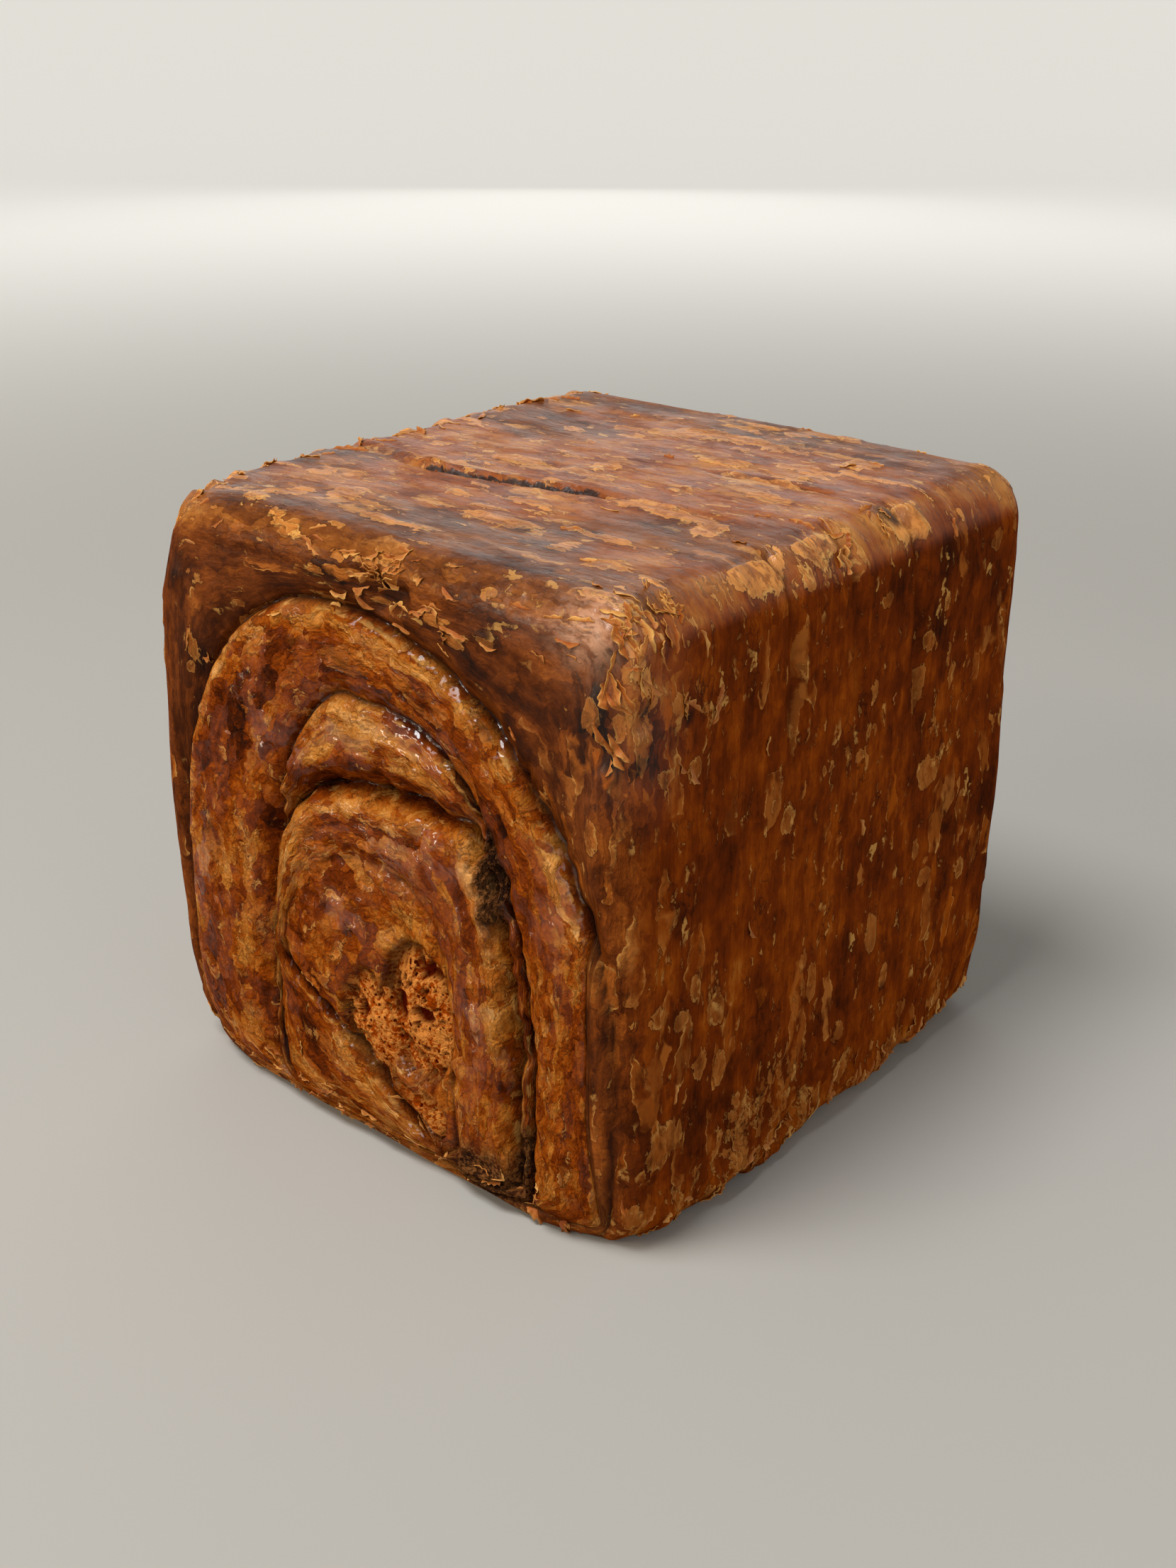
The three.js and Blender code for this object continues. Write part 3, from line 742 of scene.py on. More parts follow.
# %% Burnt corners between the turns
BURNT_SPOTS = [(27, 5.5, 11, 7), (34.5, 12, 2.8, 9), (29, 64, 3.2, 9.5)]
BURNT_HEIGHT = 1.3

burnt = np.max([1 - ease(0.7, 1.15, oval(*spot) + 2 * ragged) for spot in BURNT_SPOTS], 0) * on_front
burnt_relief = BURNT_HEIGHT * burnt * grain(2.0, 91, 3)
print("burnt points:", int((burnt > 0.5).sum()))

# %% [markdown]
# One closed crust
#
# All the relief is added along the outward direction of each point. Then the loaf leans a little out of
# square, its blunt corners are pushed in and its foot is set flat, as in the solid, and the foot's edge lifts
# off the floor here and there. A lattice bent by hand could do this as well, but never twice the same.

# %% Settle the points
CORNER_LIFT = {"front_left": 0.6, "front_right": 1.4, "back_left": 0.6, "back_right": 0.0}
BLUNT_REACH = 22.0
BLUNT_CORNERS = [((-1, -1, 1), 1.8), ((1, -1, -1), 3.6), ((1, 1, -1), 2.2), ((-1, -1, -1), 2.6)]
FOOT_LIFT = dict(height=2.6, reach=7.0, size=9.0, across=30, seed=93)


def settle(points):
    """Lift the top to its four corner heights, blunt the corners and keep the foot on the floor."""
    px, py, pz = points[..., 0].copy(), points[..., 1].copy(), points[..., 2].copy()
    right, back = np.clip(px / WIDTH + 0.5, 0, 1), np.clip(py / DEPTH + 0.5, 0, 1)
    front_lift = mix(CORNER_LIFT["front_left"], CORNER_LIFT["front_right"], right)
    back_lift = mix(CORNER_LIFT["back_left"], CORNER_LIFT["back_right"], right)
    seat = (px.copy(), py.copy(), pz - HEIGHT / 2)
    halves = (WIDTH / 2, DEPTH / 2, HEIGHT / 2)
    pz += mix(front_lift, back_lift, back) * np.clip(pz / HEIGHT, 0, 1)
    for side, drop in BLUNT_CORNERS:
        inward = drop
        for axis in range(3):
            inward = inward * ease(halves[axis] - BLUNT_REACH, halves[axis], side[axis] * seat[axis])
        px -= side[0] * inward
        py -= side[1] * inward
        pz -= max(side[2], 0) * inward
    return np.stack([px, py, np.maximum(pz, 0)], -1)


smooth_relief = (1 - turned) * end_relief + turned * skin_relief
crust_relief = flake_relief + fibre_relief + blister + burnt_relief
all_relief = smooth_relief + crust_relief * (1 - bottom) * (1 - 0.8 * crumb)
foot_place = (across / FOOT_LIFT["across"], along / FOOT_LIFT["size"], nowhere)
lifted_foot = FOOT_LIFT["height"] * ease(-0.1, 0.6, noise(foot_place, FOOT_LIFT["seed"], 2))
lifted_foot = lifted_foot * (1 - ease(0, FOOT_LIFT["reach"], upward)) * ease(46, 54, np.abs(across - 1))
plain = settle(place + out * smooth_relief[..., None])
middle_x, middle_y = ((plain[..., axis].min() + plain[..., axis].max()) / 2 for axis in (0, 1))
shift = np.array([-middle_x, -middle_y, 0])
points = settle(place + out * all_relief[..., None]) + shift
points[..., 2] += lifted_foot
print("shift to the middle of the base:", shift.round(2), "mm")

# %% [markdown]
# The mesh
#
# The rows become rings of four-sided faces, and a fan of triangles closes each heart. The mesh is filled from
# arrays, because adding nearly 100,000 points one at a time is slow.

# %% Build the mesh of the crust
def closed_rings(points):
    count = rows * columns
    hearts = [points[0].mean(0), points[-1].mean(0)]
    vertices = np.concatenate([points.reshape(-1, 3), hearts]) * MILLIMETRE
    index = np.arange(count).reshape(rows, columns)
    after = np.roll(index, -1, 1)
    quads = np.stack([index[:-1], index[1:], after[1:], after[:-1]], -1).reshape(-1, 4)
    front_fan = np.stack([np.full(columns, count), index[0], after[0]], -1)
    back_fan = np.stack([np.full(columns, count + 1), after[-1], index[-1]], -1)
    return vertices, quads, np.concatenate([front_fan, back_fan])


def mesh_from_arrays(name, vertices, quads, triangles):
    mesh = bpy.data.meshes.new(name)
    loops = np.concatenate([quads.ravel(), triangles.ravel()]).astype(np.int32)
    sizes = np.concatenate([np.full(len(quads), 4), np.full(len(triangles), 3)])
    starts = np.concatenate([[0], np.cumsum(sizes)[:-1]]).astype(np.int32)
    mesh.vertices.add(len(vertices))
    mesh.vertices.foreach_set("co", vertices.astype(np.float32).ravel())
    mesh.loops.add(len(loops))
    mesh.loops.foreach_set("vertex_index", loops)
    mesh.polygons.add(len(sizes))
    mesh.polygons.foreach_set("loop_start", starts)
    mesh.polygons.foreach_set("use_smooth", np.ones(len(sizes), dtype=bool))
    mesh.update(calc_edges=True)
    mesh.validate()
    return mesh


def add_object(name, data):
    made = bpy.data.objects.new(name, data)
    bpy.context.scene.collection.objects.link(made)
    return made


vertices, quads, fans = closed_rings(points)
crust_mesh = mesh_from_arrays("crust", vertices, quads, fans)
crust = add_object("loaf_crust", crust_mesh)
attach(crust, "root")
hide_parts("loaf")
print("crust:", len(vertices), "points,", 2 * len(quads) + len(fans), "triangles")

# %% [markdown]
# Where the coiled end is dark or light
#
# The tin browned the outside most, and the coiled end stayed amber. Each turn has its own tone, from 0 for
# burnt to 1 for pale. Beside the creases there are painted light and shade: a light rim where an edge faces
# the lamps, and a dark shoulder where a turn curls away from them. These broad differences are worked out per
# point and stored on the mesh, and the shader adds the fine grain to them.

# %% Tone of the coiled end
WRAP_TONE, BAND_TONE, INNER_TONE, PLUG_TONE, HEART_TONE = 0.30, 0.50, 0.60, 0.53, 0.55
FRONT_SPOTS = [
    (-45, 48, 4, 10, -0.12), (-36, 50, 5, 9, 0.14), (-45, 22, 4, 8, -0.10), (-36, 28, 4, 9, 0.12),
    (-43, 70, 5, 9, -0.08), (-40, 8, 10, 5, 0.06), (46, 80, 6, 8, 0.10), (43, 55, 6, 12, 0.12),
    (48, 36, 3, 8, -0.14), (43, 18, 6, 10, 0.06), (0, 78, 6, 3, -0.14), (28, 74, 4, 5, 0.06),
    (-15, 60, 6, 4, -0.14), (19, 59, 4, 4, -0.12), (-21, 45, 4, 8, -0.10), (2, 50, 8, 6, 0.08),
    (-18, 28, 7, 5, -0.14), (-14, 14, 8, 6, -0.12), (5, 3, 12, 2, 0.12), (41, 103, 10, 6, -0.2),
    (-47, 90, 5, 12, -0.06), (47, 90, 5, 12, -0.12),
]
SPOT_WANDER = 4

patch = grain(13, 81, 3)


def between(value, low, high, soft):
    return ease(low - soft, low + soft, value) * (1 - ease(high - soft, high + soft, value))


def spots(places, first, second):
    """Add soft oval spots, each a change of tone at its own place."""
    total = np.zeros(flow.shape)
    for first_middle, second_middle, first_half, second_half, change in places:
        near_first = close(first - first_middle + SPOT_WANDER * patch, first_half)
        total += change * near_first * close(second - second_middle + SPOT_WANDER * patch, second_half)
    return total


from_outer, from_middle, from_plug, from_heart = outside
head = np.broadcast_to(aim_z, flow.shape)
# Painted light and shade at the creases. There is a lit rim just inside the outer crease and a shaded
# shoulder outside it. The tops inside the middle crease and on the plug's rim are lit. The band that curls
# down into the plug's crease gets painted shade.
plug_shade = ease(0.1, 0.6, head + 0.2 * patch) * ease(-0.62, -0.36, aim_x)
tone_end = weigh(
    np.select(
        [band > 4, band > 3, band > 2, band > 1], [WRAP_TONE, BAND_TONE, INNER_TONE, PLUG_TONE], HEART_TONE
    ),
    (0.20, close(from_outer + 1.8, 1.6)),
    (-0.10, close(from_outer - 2.5, 2.5)),
    (-0.16, between(from_outer, -16, -5, 2.5) * ease(0.45, 0.8, head + 0.25 * patch)),
    (0.12, between(from_middle, -9, -0.5, 1.5) * ease(0.3, 0.7, head + 0.2 * patch)),
    (-0.42, between(from_plug, 0, 5, 1.5) * plug_shade),
    (0.14, close(from_plug + 3, 2.5) * ease(0.2, 0.6, head)),
    (-0.05, wrap * ease(92, 104, upward)),
    (1, spots(FRONT_SPOTS, across, upward) * on_front),
)
print("tone of the coiled end:", round(float(tone_end.min()), 2), "to", round(float(tone_end.max()), 2))

# %% [markdown]
# Where the sides and the top are dark or light
#
# The sides lay on the tin and are darkest. The top is paler, with dark ends, and the rounded edges are pale
# where the flakes broke off; the top right edge is lighter also as a painted highlight, where light falls on
# its rounding. One tone for each face would look painted, so soft spots and noise break it up.

# %% Tone of the skin, and of the whole crust
RIGHT_SPOTS = [
    (42, 98, 18, 13, -0.10), (-43, 22, 11, 9, -0.16), (-30, 90, 9, 13, -0.08), (51, 55, 9, 30, -0.08),
    (2, 101, 22, 6, -0.06), (-25, 66, 5, 7, 0.10), (-4, 46, 8, 9, 0.09), (18, 74, 14, 7, 0.06),
    (-52, 56, 8, 12, 0.08),
]

segments = noise((along / 6.5, skin_x / 30, skin_z / 30), 88, 3)
top_dark = close(along + 54, 15) + 0.9 * close(along - 52, 13) + 0.8 * ease(0.05, 0.4, grain(22, 96, 2))
top_dark = np.clip(top_dark, 0, 1)
tone_skin = weigh(
    0.40,
    (1, top_face * (0.15 - 0.20 * top_dark)),
    (0.20, top_left_edge),
    # Painted highlight in part: the top right edge is lighter where light falls on its rounding.
    (1, top_right_edge * (0.20 + 0.30 * segments)),
    (0.10, foot_edge),
    (0.05, bottom),
    (1, spots(RIGHT_SPOTS, along, upward) * right_face),
)
tone = weigh(
    mix(tone_end, tone_skin, turned),
    (1, near_corner * (0.10 * crumple - 0.05)),
    (0.05, end_edge * ease(60, 110, upward)),
    (0.09, end_edge * ease(106, 112, upward)),
    (0.16, left_corner),
)
darkest = 0.24 + 0.12 * inner_turns + 0.10 * np.clip(top_face + top_right_edge + end_edge, 0, 1)
tone = np.clip(tone + 0.14 * patch, darkest, 1)
# Painted highlight: the lit edge of the slanting flap.
tone = tone + 0.12 * close(from_heart - 1.8, 1.8) * slant_share * on_front
print("tone of the crust:", round(float(tone.min()), 2), "to", round(float(tone.max()), 2))

# %% [markdown]
# Thin veils, and pale lips with painted highlight
#
# Films too thin to stand up still veil the crust, mostly on the edges, the foot and the top. Along the
# creases the torn edge of each turn shows as a pale broken line, as paper does where it is torn, and the line
# is also a painted highlight where the raised edge catches the light; so is the edge of the slanting flap.
# Both are too thin to model, so they are masks for the shader.

# %% Veils, and lips with painted highlight
LIT_LIPS = ((0, 0.42), (1, 0.4), (2, 0.45))
SLANT_LIT_LIP = 0.42
LIP_BREAKS = dict(size=5, apart=9.0, seed=19)

veiled = weigh(
    0.16,
    (-0.06, right_face),
    (0.10, top_face),
    (0.16, top_right_edge),
    (0.40, top_left_edge),
    (-0.05, near_corner),
    (-0.2, wrap),
    (0.15, end_edge * ease(40, 90, upward)),
    (0.3, foot_edge),
    (0.2, right_face * (1 - ease(-55, -30, along))),
    (0.9, grain(14, 85, 2)),
)
veiled = np.clip(veiled, 0, 1)
# The pale lips are torn edges and also a painted highlight where the raised edge catches the light; so is the
# edge of the slanting flap.
lip = np.zeros(flow.shape)
for index, strength in LIT_LIPS:
    broken = round_noise(LIP_BREAKS["size"], LIP_BREAKS["apart"] * index, LIP_BREAKS["seed"])
    lip = np.maximum(lip, strength * ease(-0.2, 0.4, broken) * close(outside[index] + 0.8, 0.45))
slant_breaks = ease(-0.5, 0.2, round_noise(LIP_BREAKS["size"], 0.0, 23))
lit_slant_edge = close(from_heart - 0.7, 0.5) * slant_share * slant_breaks
lip = np.maximum(lip, SLANT_LIT_LIP * lit_slant_edge) * on_ends
print("points on a pale lip:", int((lip > 0.2).sum()))

# %% [markdown]
# Painted shade in crevices
#
# No light reaches the bottom of the creases, folds, torn places and small holes. The lamps of the scene
# darken a deep valley by themselves, so the thin ones get painted shade: a dark line in the colour.

# %% Painted shade in crevices and holes
HOLE_SHADES = [
    (52.6, -59, 89.8, 1.6), (57, -45, 95, 1.4), (52, 15, 113, 2.6), (56, -36, 42, 1.0),
    (56, -35, 27, 0.9), (57, 17, 22, 0.9),
]
SHADE_DEPTH, LINE_DEPTH = 2.6, 1.1

# Painted shade: the bottoms of creases, folds and torn places, the crumb's overhung rim and the holes get a
# dark value. It is stored and darkened into the colour later.
crevice = np.zeros(flow.shape)
for turn, deep, away, uneven in zip(TURNS, crease_deep, outside, crease_uneven):
    open_left = 0.75 * ease(0.2, 0.7, -aim_x) * (turn["curl"] < TURNS[0]["curl"])
    shade = np.clip(deep / SHADE_DEPTH, 0, 1) ** 1.5 * (1 - open_left)
    shade_line = np.clip(deep / LINE_DEPTH, 0, 1) * (0.6 + 0.4 * uneven)
    crevice = np.maximum(crevice, 0.6 * shade * close(away, 0.9 * uneven))
    crevice = np.maximum(crevice, shade_line * close(away, 0.48))
crevice = np.maximum(crevice * (1 - turned), fold_shade ** 1.6 * turned)
crevice = np.maximum(crevice, 0.75 * close(lobe_edge - 0.98, 0.07) * inner_end)
crevice = np.maximum(crevice, 0.8 * tear * ease(-0.3, 0.3, grain(2.2, 83, 2)))
for *hole_middle, radius in HOLE_SHADES:
    away = np.linalg.norm(place - np.array(hole_middle), axis=-1) / radius
    crevice = np.maximum(crevice, 1 - ease(0.6, 1.3, away + ragged))
print("points in a crevice:", int((crevice > 0.5).sum()))

# %% [markdown]
# Glossy places
#
# Butter left the coiled end shiny in a few places, and the top has a soft sheen from the lid. A gloss
# everywhere would turn the whole end grey, so it is kept to the ovals where the real loaf shines.

# %% Gloss
GLINTS = [
    (-25, 76, 3, 5), (-18, 75, 5, 4), (-4, 82, 8, 5), (11, 84, 9, 5), (4, 64, 10, 5), (20, 66, 8, 6),
    (27, 60, 5, 9), (-47, 42, 3, 12), (44, 66, 4, 12), (26, 36, 4, 9), (-8, 46, 6, 5), (30, 90, 6, 4),
]
COIL_GLOSS, DRY_COIL = 0.9, 0.72

wrap_sheen = between(across, 26, 60, 8) * ease(103, 111, upward)
end_gloss = np.where(band > 4, 0.10 + 0.5 * wrap_sheen, COIL_GLOSS)
gloss = mix(end_gloss, 0.03 + 0.75 * top_face + 0.35 * top_right_edge, turned)
gloss = gloss - DRY_COIL * (1 - in_ovals(GLINTS)) * inner_turns + 0.35 * near_corner
gloss = np.clip(gloss * (1 - burnt), 0, 1)
# Painted highlight: this mask lightens the colour to a mauve sheen at the near top corner. It is not part of
# the gloss.
corner_sheen = close(across - 48, 6.5) * close(upward - 110.5, 5.5) * (1 - ease(-56, -50, along))
print("points with a full gloss:", int((gloss > 0.8).sum()))

# %% [markdown]
# Fields on the mesh
#
# A shader can't know where the front end or the top is. Named values stored on the points tell it. Painting
# them by hand as vertex colours would also work, but these come from the same sums as the relief.

# %% Store the fields
brown = 0.45 * wrap + top_face * (0.25 + 0.6 * top_dark) + 0.1 * top_right_edge + 0.2 * end_edge
golden = weigh(
    top_right_edge,
    (1, near_corner * ease(97, 104, upward)),
    (1, top_left_edge),
    (0.6, top_face),
    (0.7, end_edge * ease(90, 110, upward)),
)
FIELDS = dict(
    flake=flake,
    tone=tone,
    crevice=crevice,
    crumb=crumb,
    pore=pore * crumb,
    burnt=burnt,
    gloss=gloss,
    coiled=on_ends * (1 - 0.8 * wrap),
    lip=lip,
    veiled=veiled,
    top=top_face,
    brown=np.clip(brown, 0, 0.9),
    corner=near_corner,
    crumbly=np.clip(crumbly_foot, 0, 1),
    sheen=corner_sheen,
    crack=crack_away,
    open=crack_open,
    golden=np.clip(golden, 0, 1),
)


def store(mesh, name, kind, values):
    """Store one number or one vector for each point of a mesh."""
    layer = mesh.attributes.new(name, kind, "POINT")
    layer.data.foreach_set("vector" if kind == "FLOAT_VECTOR" else "value", values.astype(np.float32).ravel())


def with_hearts(values, width):
    """Add the means of the first and last rows, for the two points that close the ends."""
    hearts = [values[end].mean(0).reshape(1, width) for end in (0, -1)]
    return np.concatenate([values.reshape(-1, width), *hearts])


for name, values in FIELDS.items():
    values = np.broadcast_to(values, flow.shape)
    store(crust_mesh, name, "FLOAT", with_hearts(values, 1))
    print(name, "runs from", round(float(values.min()), 2), "to", round(float(values.max()), 2))
store(crust_mesh, "roll", "FLOAT_VECTOR", with_hearts(ring, 3))

# %% [markdown]
# Shader sums as plain expressions
#
# A shader is a sum of many small steps. Clicking them together is slow to read back, so one class wraps a
# socket and turns ordinary arithmetic into Math nodes.

# %% A socket with arithmetic
class Wire:
    def __init__(self, recipe, socket):
        self.recipe = recipe
        self.socket = socket

    def sum(self, operation, first, second):
        return self.recipe.node("ShaderNodeMath", {"operation": operation}, {0: first, 1: second})

    def __add__(self, other):
        return self.sum("ADD", self, other)

    __radd__ = __add__

    def __sub__(self, other):
        return self.sum("SUBTRACT", self, other)

    def __rsub__(self, other):
        return self.sum("SUBTRACT", other, self)

    def __mul__(self, other):
        return self.sum("MULTIPLY", self, other)

    __rmul__ = __mul__

    def __abs__(self):
        return self.sum("ABSOLUTE", self, 0)


print("a socket now takes plus, minus, times and abs")

# %% [markdown]
# One way to add a node
#
# Every node comes from one method: its type, then its settings, then the values or links of its sockets. The
# short methods after it name the few nodes that a crust needs, so that a recipe reads like a list of steps.

# %% A material that takes any node
class NodeMaterial:
    def __init__(self, name):
        self.material = bpy.data.materials.new(name)
        self.material.use_nodes = True
        self.tree = self.material.node_tree
        self.tree.nodes.remove(self.tree.nodes["Principled BSDF"])
        self.output = self.tree.nodes["Material Output"]

    def node(self, kind, settings=None, sockets=None, output=0):
        node = self.tree.nodes.new(kind)
        for key, value in (settings or {}).items():
            if key == "stops":
                self.set_stops(node.color_ramp, value)
            else:
                setattr(node, key, value)
        for key, value in (sockets or {}).items():
            self.plug(node.inputs[key], value)
        return Wire(self, node.outputs[output])

    def set_stops(self, ramp, stops):
        while len(ramp.elements) < len(stops):
            ramp.elements.new(1.0)
        for element, (position, colour) in zip(ramp.elements, stops):
            element.position = position
            element.color = (*colour, 1)

    def plug(self, socket, value):
        if isinstance(value, Wire):
            self.tree.links.new(value.socket, socket)
        elif socket.type == "RGBA" and len(value) == 3:
            socket.default_value = (*value, 1)
        else:
            socket.default_value = value

    def finish(self, shader):
        self.plug(self.output.inputs["Surface"], shader)


print("a material can take a node of any type")

# %% A recipe with short names for its nodes
class Recipe(NodeMaterial):
    def outputs(self, wire):
        return [Wire(self, socket) for socket in wire.socket.node.outputs]

    def field(self, name, output="Fac"):
        return self.node("ShaderNodeAttribute", {"attribute_name": name}, None, output)

    def object_place(self):
        return self.node("ShaderNodeTexCoord", None, None, "Object")

    def stretch(self, vector, sizes):
        scale = tuple(1 / size for size in sizes)
        return self.node("ShaderNodeVectorMath", {"operation": "MULTIPLY"}, {0: vector, 1: scale})

    def noise(self, vector, sizes, detail, roughness=0.55):
        stretched = self.stretch(vector, sizes)
        sockets = {"Vector": stretched, "Scale": 1.0, "Detail": detail, "Roughness": roughness}
        return self.node("ShaderNodeTexNoise", None, sockets, "Fac")

    def step(self, value, low, high):
        settings = {"interpolation_type": "SMOOTHSTEP"}
        return self.node("ShaderNodeMapRange", settings, {"Value": value, "From Min": low, "From Max": high})

    def larger(self, first, second):
        return self.node("ShaderNodeMath", {"operation": "MAXIMUM"}, {0: first, 1: second})

    def blend(self, share, first, second):
        return self.node("ShaderNodeMix", {"data_type": "RGBA"}, {0: share, 6: first, 7: second}, 2)

    def ramp(self, value, stops):
        return self.node("ShaderNodeValToRGB", {"stops": stops}, {"Fac": value})

    def bump(self, height, strength, distance):
        sockets = {"Height": height, "Strength": strength, "Distance": distance}
        return self.node("ShaderNodeBump", None, sockets)

    def shader(self, **sockets):
        named = {key.replace("_", " "): value for key, value in sockets.items()}
        return self.node("ShaderNodeBsdfPrincipled", None, named, "BSDF")

    def mix_shaders(self, share, first, second):
        return self.node("ShaderNodeMixShader", None, {0: share, 1: first, 2: second})


print("a recipe has short names for the nodes of a crust")

# %% [markdown]
# Noise for the crust
#
# Fibres and films run round the roll, because the dough was rolled out and then rolled up. So most of the
# noise is stretched along the stored roll coordinates, and only the fine grain is the same in every
# direction. A small wobble keeps the stretched noise from looking ruled.

# %% Noise along the roll and noise in every direction
WOBBLE_SCALE, WOBBLE_REACH = 320.0, (4, 4, 3)

recipe = Recipe("browned_crust")
roll = recipe.field("roll", "Vector")
spot = recipe.object_place()
wobble_sockets = {"Vector": spot, "Scale": WOBBLE_SCALE, "Detail": 3.0}
wobble = recipe.node("ShaderNodeTexNoise", None, wobble_sockets, "Color")
offset_sockets = {0: wobble, 1: WOBBLE_REACH, 2: roll}
offset = recipe.node("ShaderNodeVectorMath", {"operation": "MULTIPLY_ADD"}, offset_sockets)


def even_noise(size, detail, roughness=0.55):
    """Add noise of one size, in millimetres, in every direction."""
    return recipe.noise(spot, 3 * (size * MILLIMETRE,), detail, roughness)


streaks = recipe.noise(offset, (12, 12, 2.4), 5.0, 0.58)
broad = recipe.noise(offset, (20, 20, 8), 3.0)
fibres = recipe.noise(roll, (7, 7, 0.6), 3.0)
ripples = recipe.noise(offset, (5, 5, 1.0), 3.0)
torn = recipe.noise(offset, (3.4, 3.4, 1.1), 3.0, 0.6)
wrinkles = abs(recipe.noise(offset, (3.4, 3.4, 1.5), 3.0) - 0.5)
fine_wrinkles = abs(recipe.noise(offset, (2.4, 2.4, 0.9), 1.0) - 0.5)
soft_folds = recipe.noise(roll, (6.5, 6.5, 2.6), 1.0)
soft_folds = soft_folds + 0.8 * even_noise(4.2, 0.5) + 0.5 * even_noise(1.9, 0.5)
mottle = even_noise(5.5, 5.0, 0.62)
crinkle = even_noise(2.0, 4.0, 0.6)
granules = even_noise(0.9, 3.0, 0.6) + 0.6 * (mottle - 0.5)
print("noise for the crust is ready:", len(recipe.tree.nodes), "nodes")

# %% [markdown]
# Ragged films
#
# The crust is a patchwork of thin films, each browned a little differently. Voronoi cells, stretched round
# the roll and bent by the wobble, give every film its own random tone, height and shine. Thousands of small
# sheets of mesh would do it too, but they would be heavy and slow.

# %% Films and the seams between them
def films(round_roll, along_roll):
    """Split the crust into ragged films and give each three random values."""
    vector = recipe.stretch(offset, (round_roll, round_roll, along_roll))
    tint = recipe.node("ShaderNodeTexVoronoi", None, {"Vector": vector, "Scale": 1.0}, "Color")
    return vector, recipe.outputs(recipe.node("ShaderNodeSeparateColor", None, {"Color": tint}))


def seam(vector, low, high):
    """Mark the line along which neighbouring films meet."""
    settings = {"feature": "DISTANCE_TO_EDGE"}
    away = recipe.node("ShaderNodeTexVoronoi", settings, {"Vector": vector, "Scale": 1.0}, "Distance")
    return 1 - recipe.step(away, low, high)


big_tone, big_height, big_shine = films(7.5, 2.6)[1]
small_vector, (small_tone, small_height, small_shine) = films(3.0, 1.2)
veil_vector, (veil_pick, veil_tint, veil_depth) = films(10.0, 3.2)
print("three sizes of films:", len(recipe.tree.nodes), "nodes")

# %% [markdown]
# The browned crust
#
# Baking browns the thin outer layer unevenly: dark where it lay on the tin, amber where steam kept it soft,
# pale where a flake lifted and shows its underside. A picture wrapped round the loaf would stretch at the
# edges, so one ramp runs from burnt to pale, and the stored fields and the noise pick a place on it. A second
# ramp is duller, for the wrap and the top.

# %% Colours from burnt to pale
BROWNING = [
    (0.00, (0.012, 0.004, 0.002)),
    (0.20, (0.060, 0.010, 0.0010)),
    (0.40, (0.150, 0.024, 0.0012)),
    (0.56, (0.255, 0.050, 0.0022)),
    (0.72, (0.370, 0.118, 0.0140)),
    (0.86, (0.450, 0.172, 0.0300)),
    (1.00, (0.640, 0.300, 0.0850)),
]
TIN_BROWNING = [
    (0.00, (0.012, 0.005, 0.003)),
    (0.20, (0.060, 0.016, 0.0030)),
    (0.40, (0.155, 0.048, 0.0085)),
    (0.58, (0.260, 0.093, 0.0170)),
    (0.76, (0.400, 0.165, 0.0360)),
    (1.00, (0.620, 0.310, 0.0950)),
]
print("stops on the two browning ramps:", len(BROWNING), "and", len(TIN_BROWNING))

# %% Brown the crust
stored_tone, coiled, corner = recipe.field("tone"), recipe.field("coiled"), recipe.field("corner")
browned = stored_tone + (0.10 + 0.24 * coiled + 0.3 * corner) * (big_tone - 0.5)
browned = browned + (0.06 + 0.14 * coiled + 0.2 * corner) * (small_tone - 0.5)
browned = browned + (0.3 + 0.15 * coiled) * (streaks - 0.5)
browned = browned + 0.4 * (mottle - 0.5) + 0.22 * (fibres - 0.5)
browned = browned + 0.65 * (1 - coiled) * (broad - 0.5)
browned = browned + (0.1 + 0.3 * coiled) * (wrinkles - 0.08)
browned = browned + (0.18 + 0.22 * coiled) * (crinkle - 0.5)
open_browning, tin_browning = recipe.ramp(browned, BROWNING), recipe.ramp(browned, TIN_BROWNING)
colour = recipe.blend(recipe.field("brown"), open_browning, tin_browning)
print("browned crust:", len(recipe.tree.nodes), "nodes")

# %% [markdown]
# Thin veils
#
# A veil is a film so thin that the brown crust shows through it. Some of the largest films are picked as
# veils, more of them where the stored field says so. A clear sheet of mesh would be heavy and hard to fit.

# %% Lay thin veils over the crust
FLAKE_ORANGE = (0.36, 0.078, 0.003)
FLAKE_AMBER = (0.40, 0.137, 0.026)
FLAKE_PALE = (0.66, 0.345, 0.090)

top, crumb_mask = recipe.field("top"), recipe.field("crumb")
veil_start = 0.93 - 0.40 * recipe.field("veiled")
veil_fade = recipe.step(recipe.noise(offset, (6, 6, 2.5), 2.0), 0.38, 0.60)
veil = recipe.step(veil_pick - veil_start, 0.0, 0.02) * veil_fade * (1 - crumb_mask)
veil_colour = recipe.blend(veil_tint, FLAKE_ORANGE, FLAKE_AMBER)
veil_colour = recipe.blend(0.5 * top * veil_depth, veil_colour, FLAKE_PALE)
colour = recipe.blend(veil * (0.25 + 0.6 * veil_depth), colour, veil_colour)
# Painted highlight in part: the pale rim of a veil is its torn edge and also a lit edge.
veil_rim_and_highlight = seam(veil_vector, 0.02, 0.09) * veil * recipe.step(mottle, 0.45, 0.6)
colour = recipe.blend(veil_rim_and_highlight * 0.5, colour, FLAKE_PALE)
print("veils over the crust:", len(recipe.tree.nodes), "nodes")

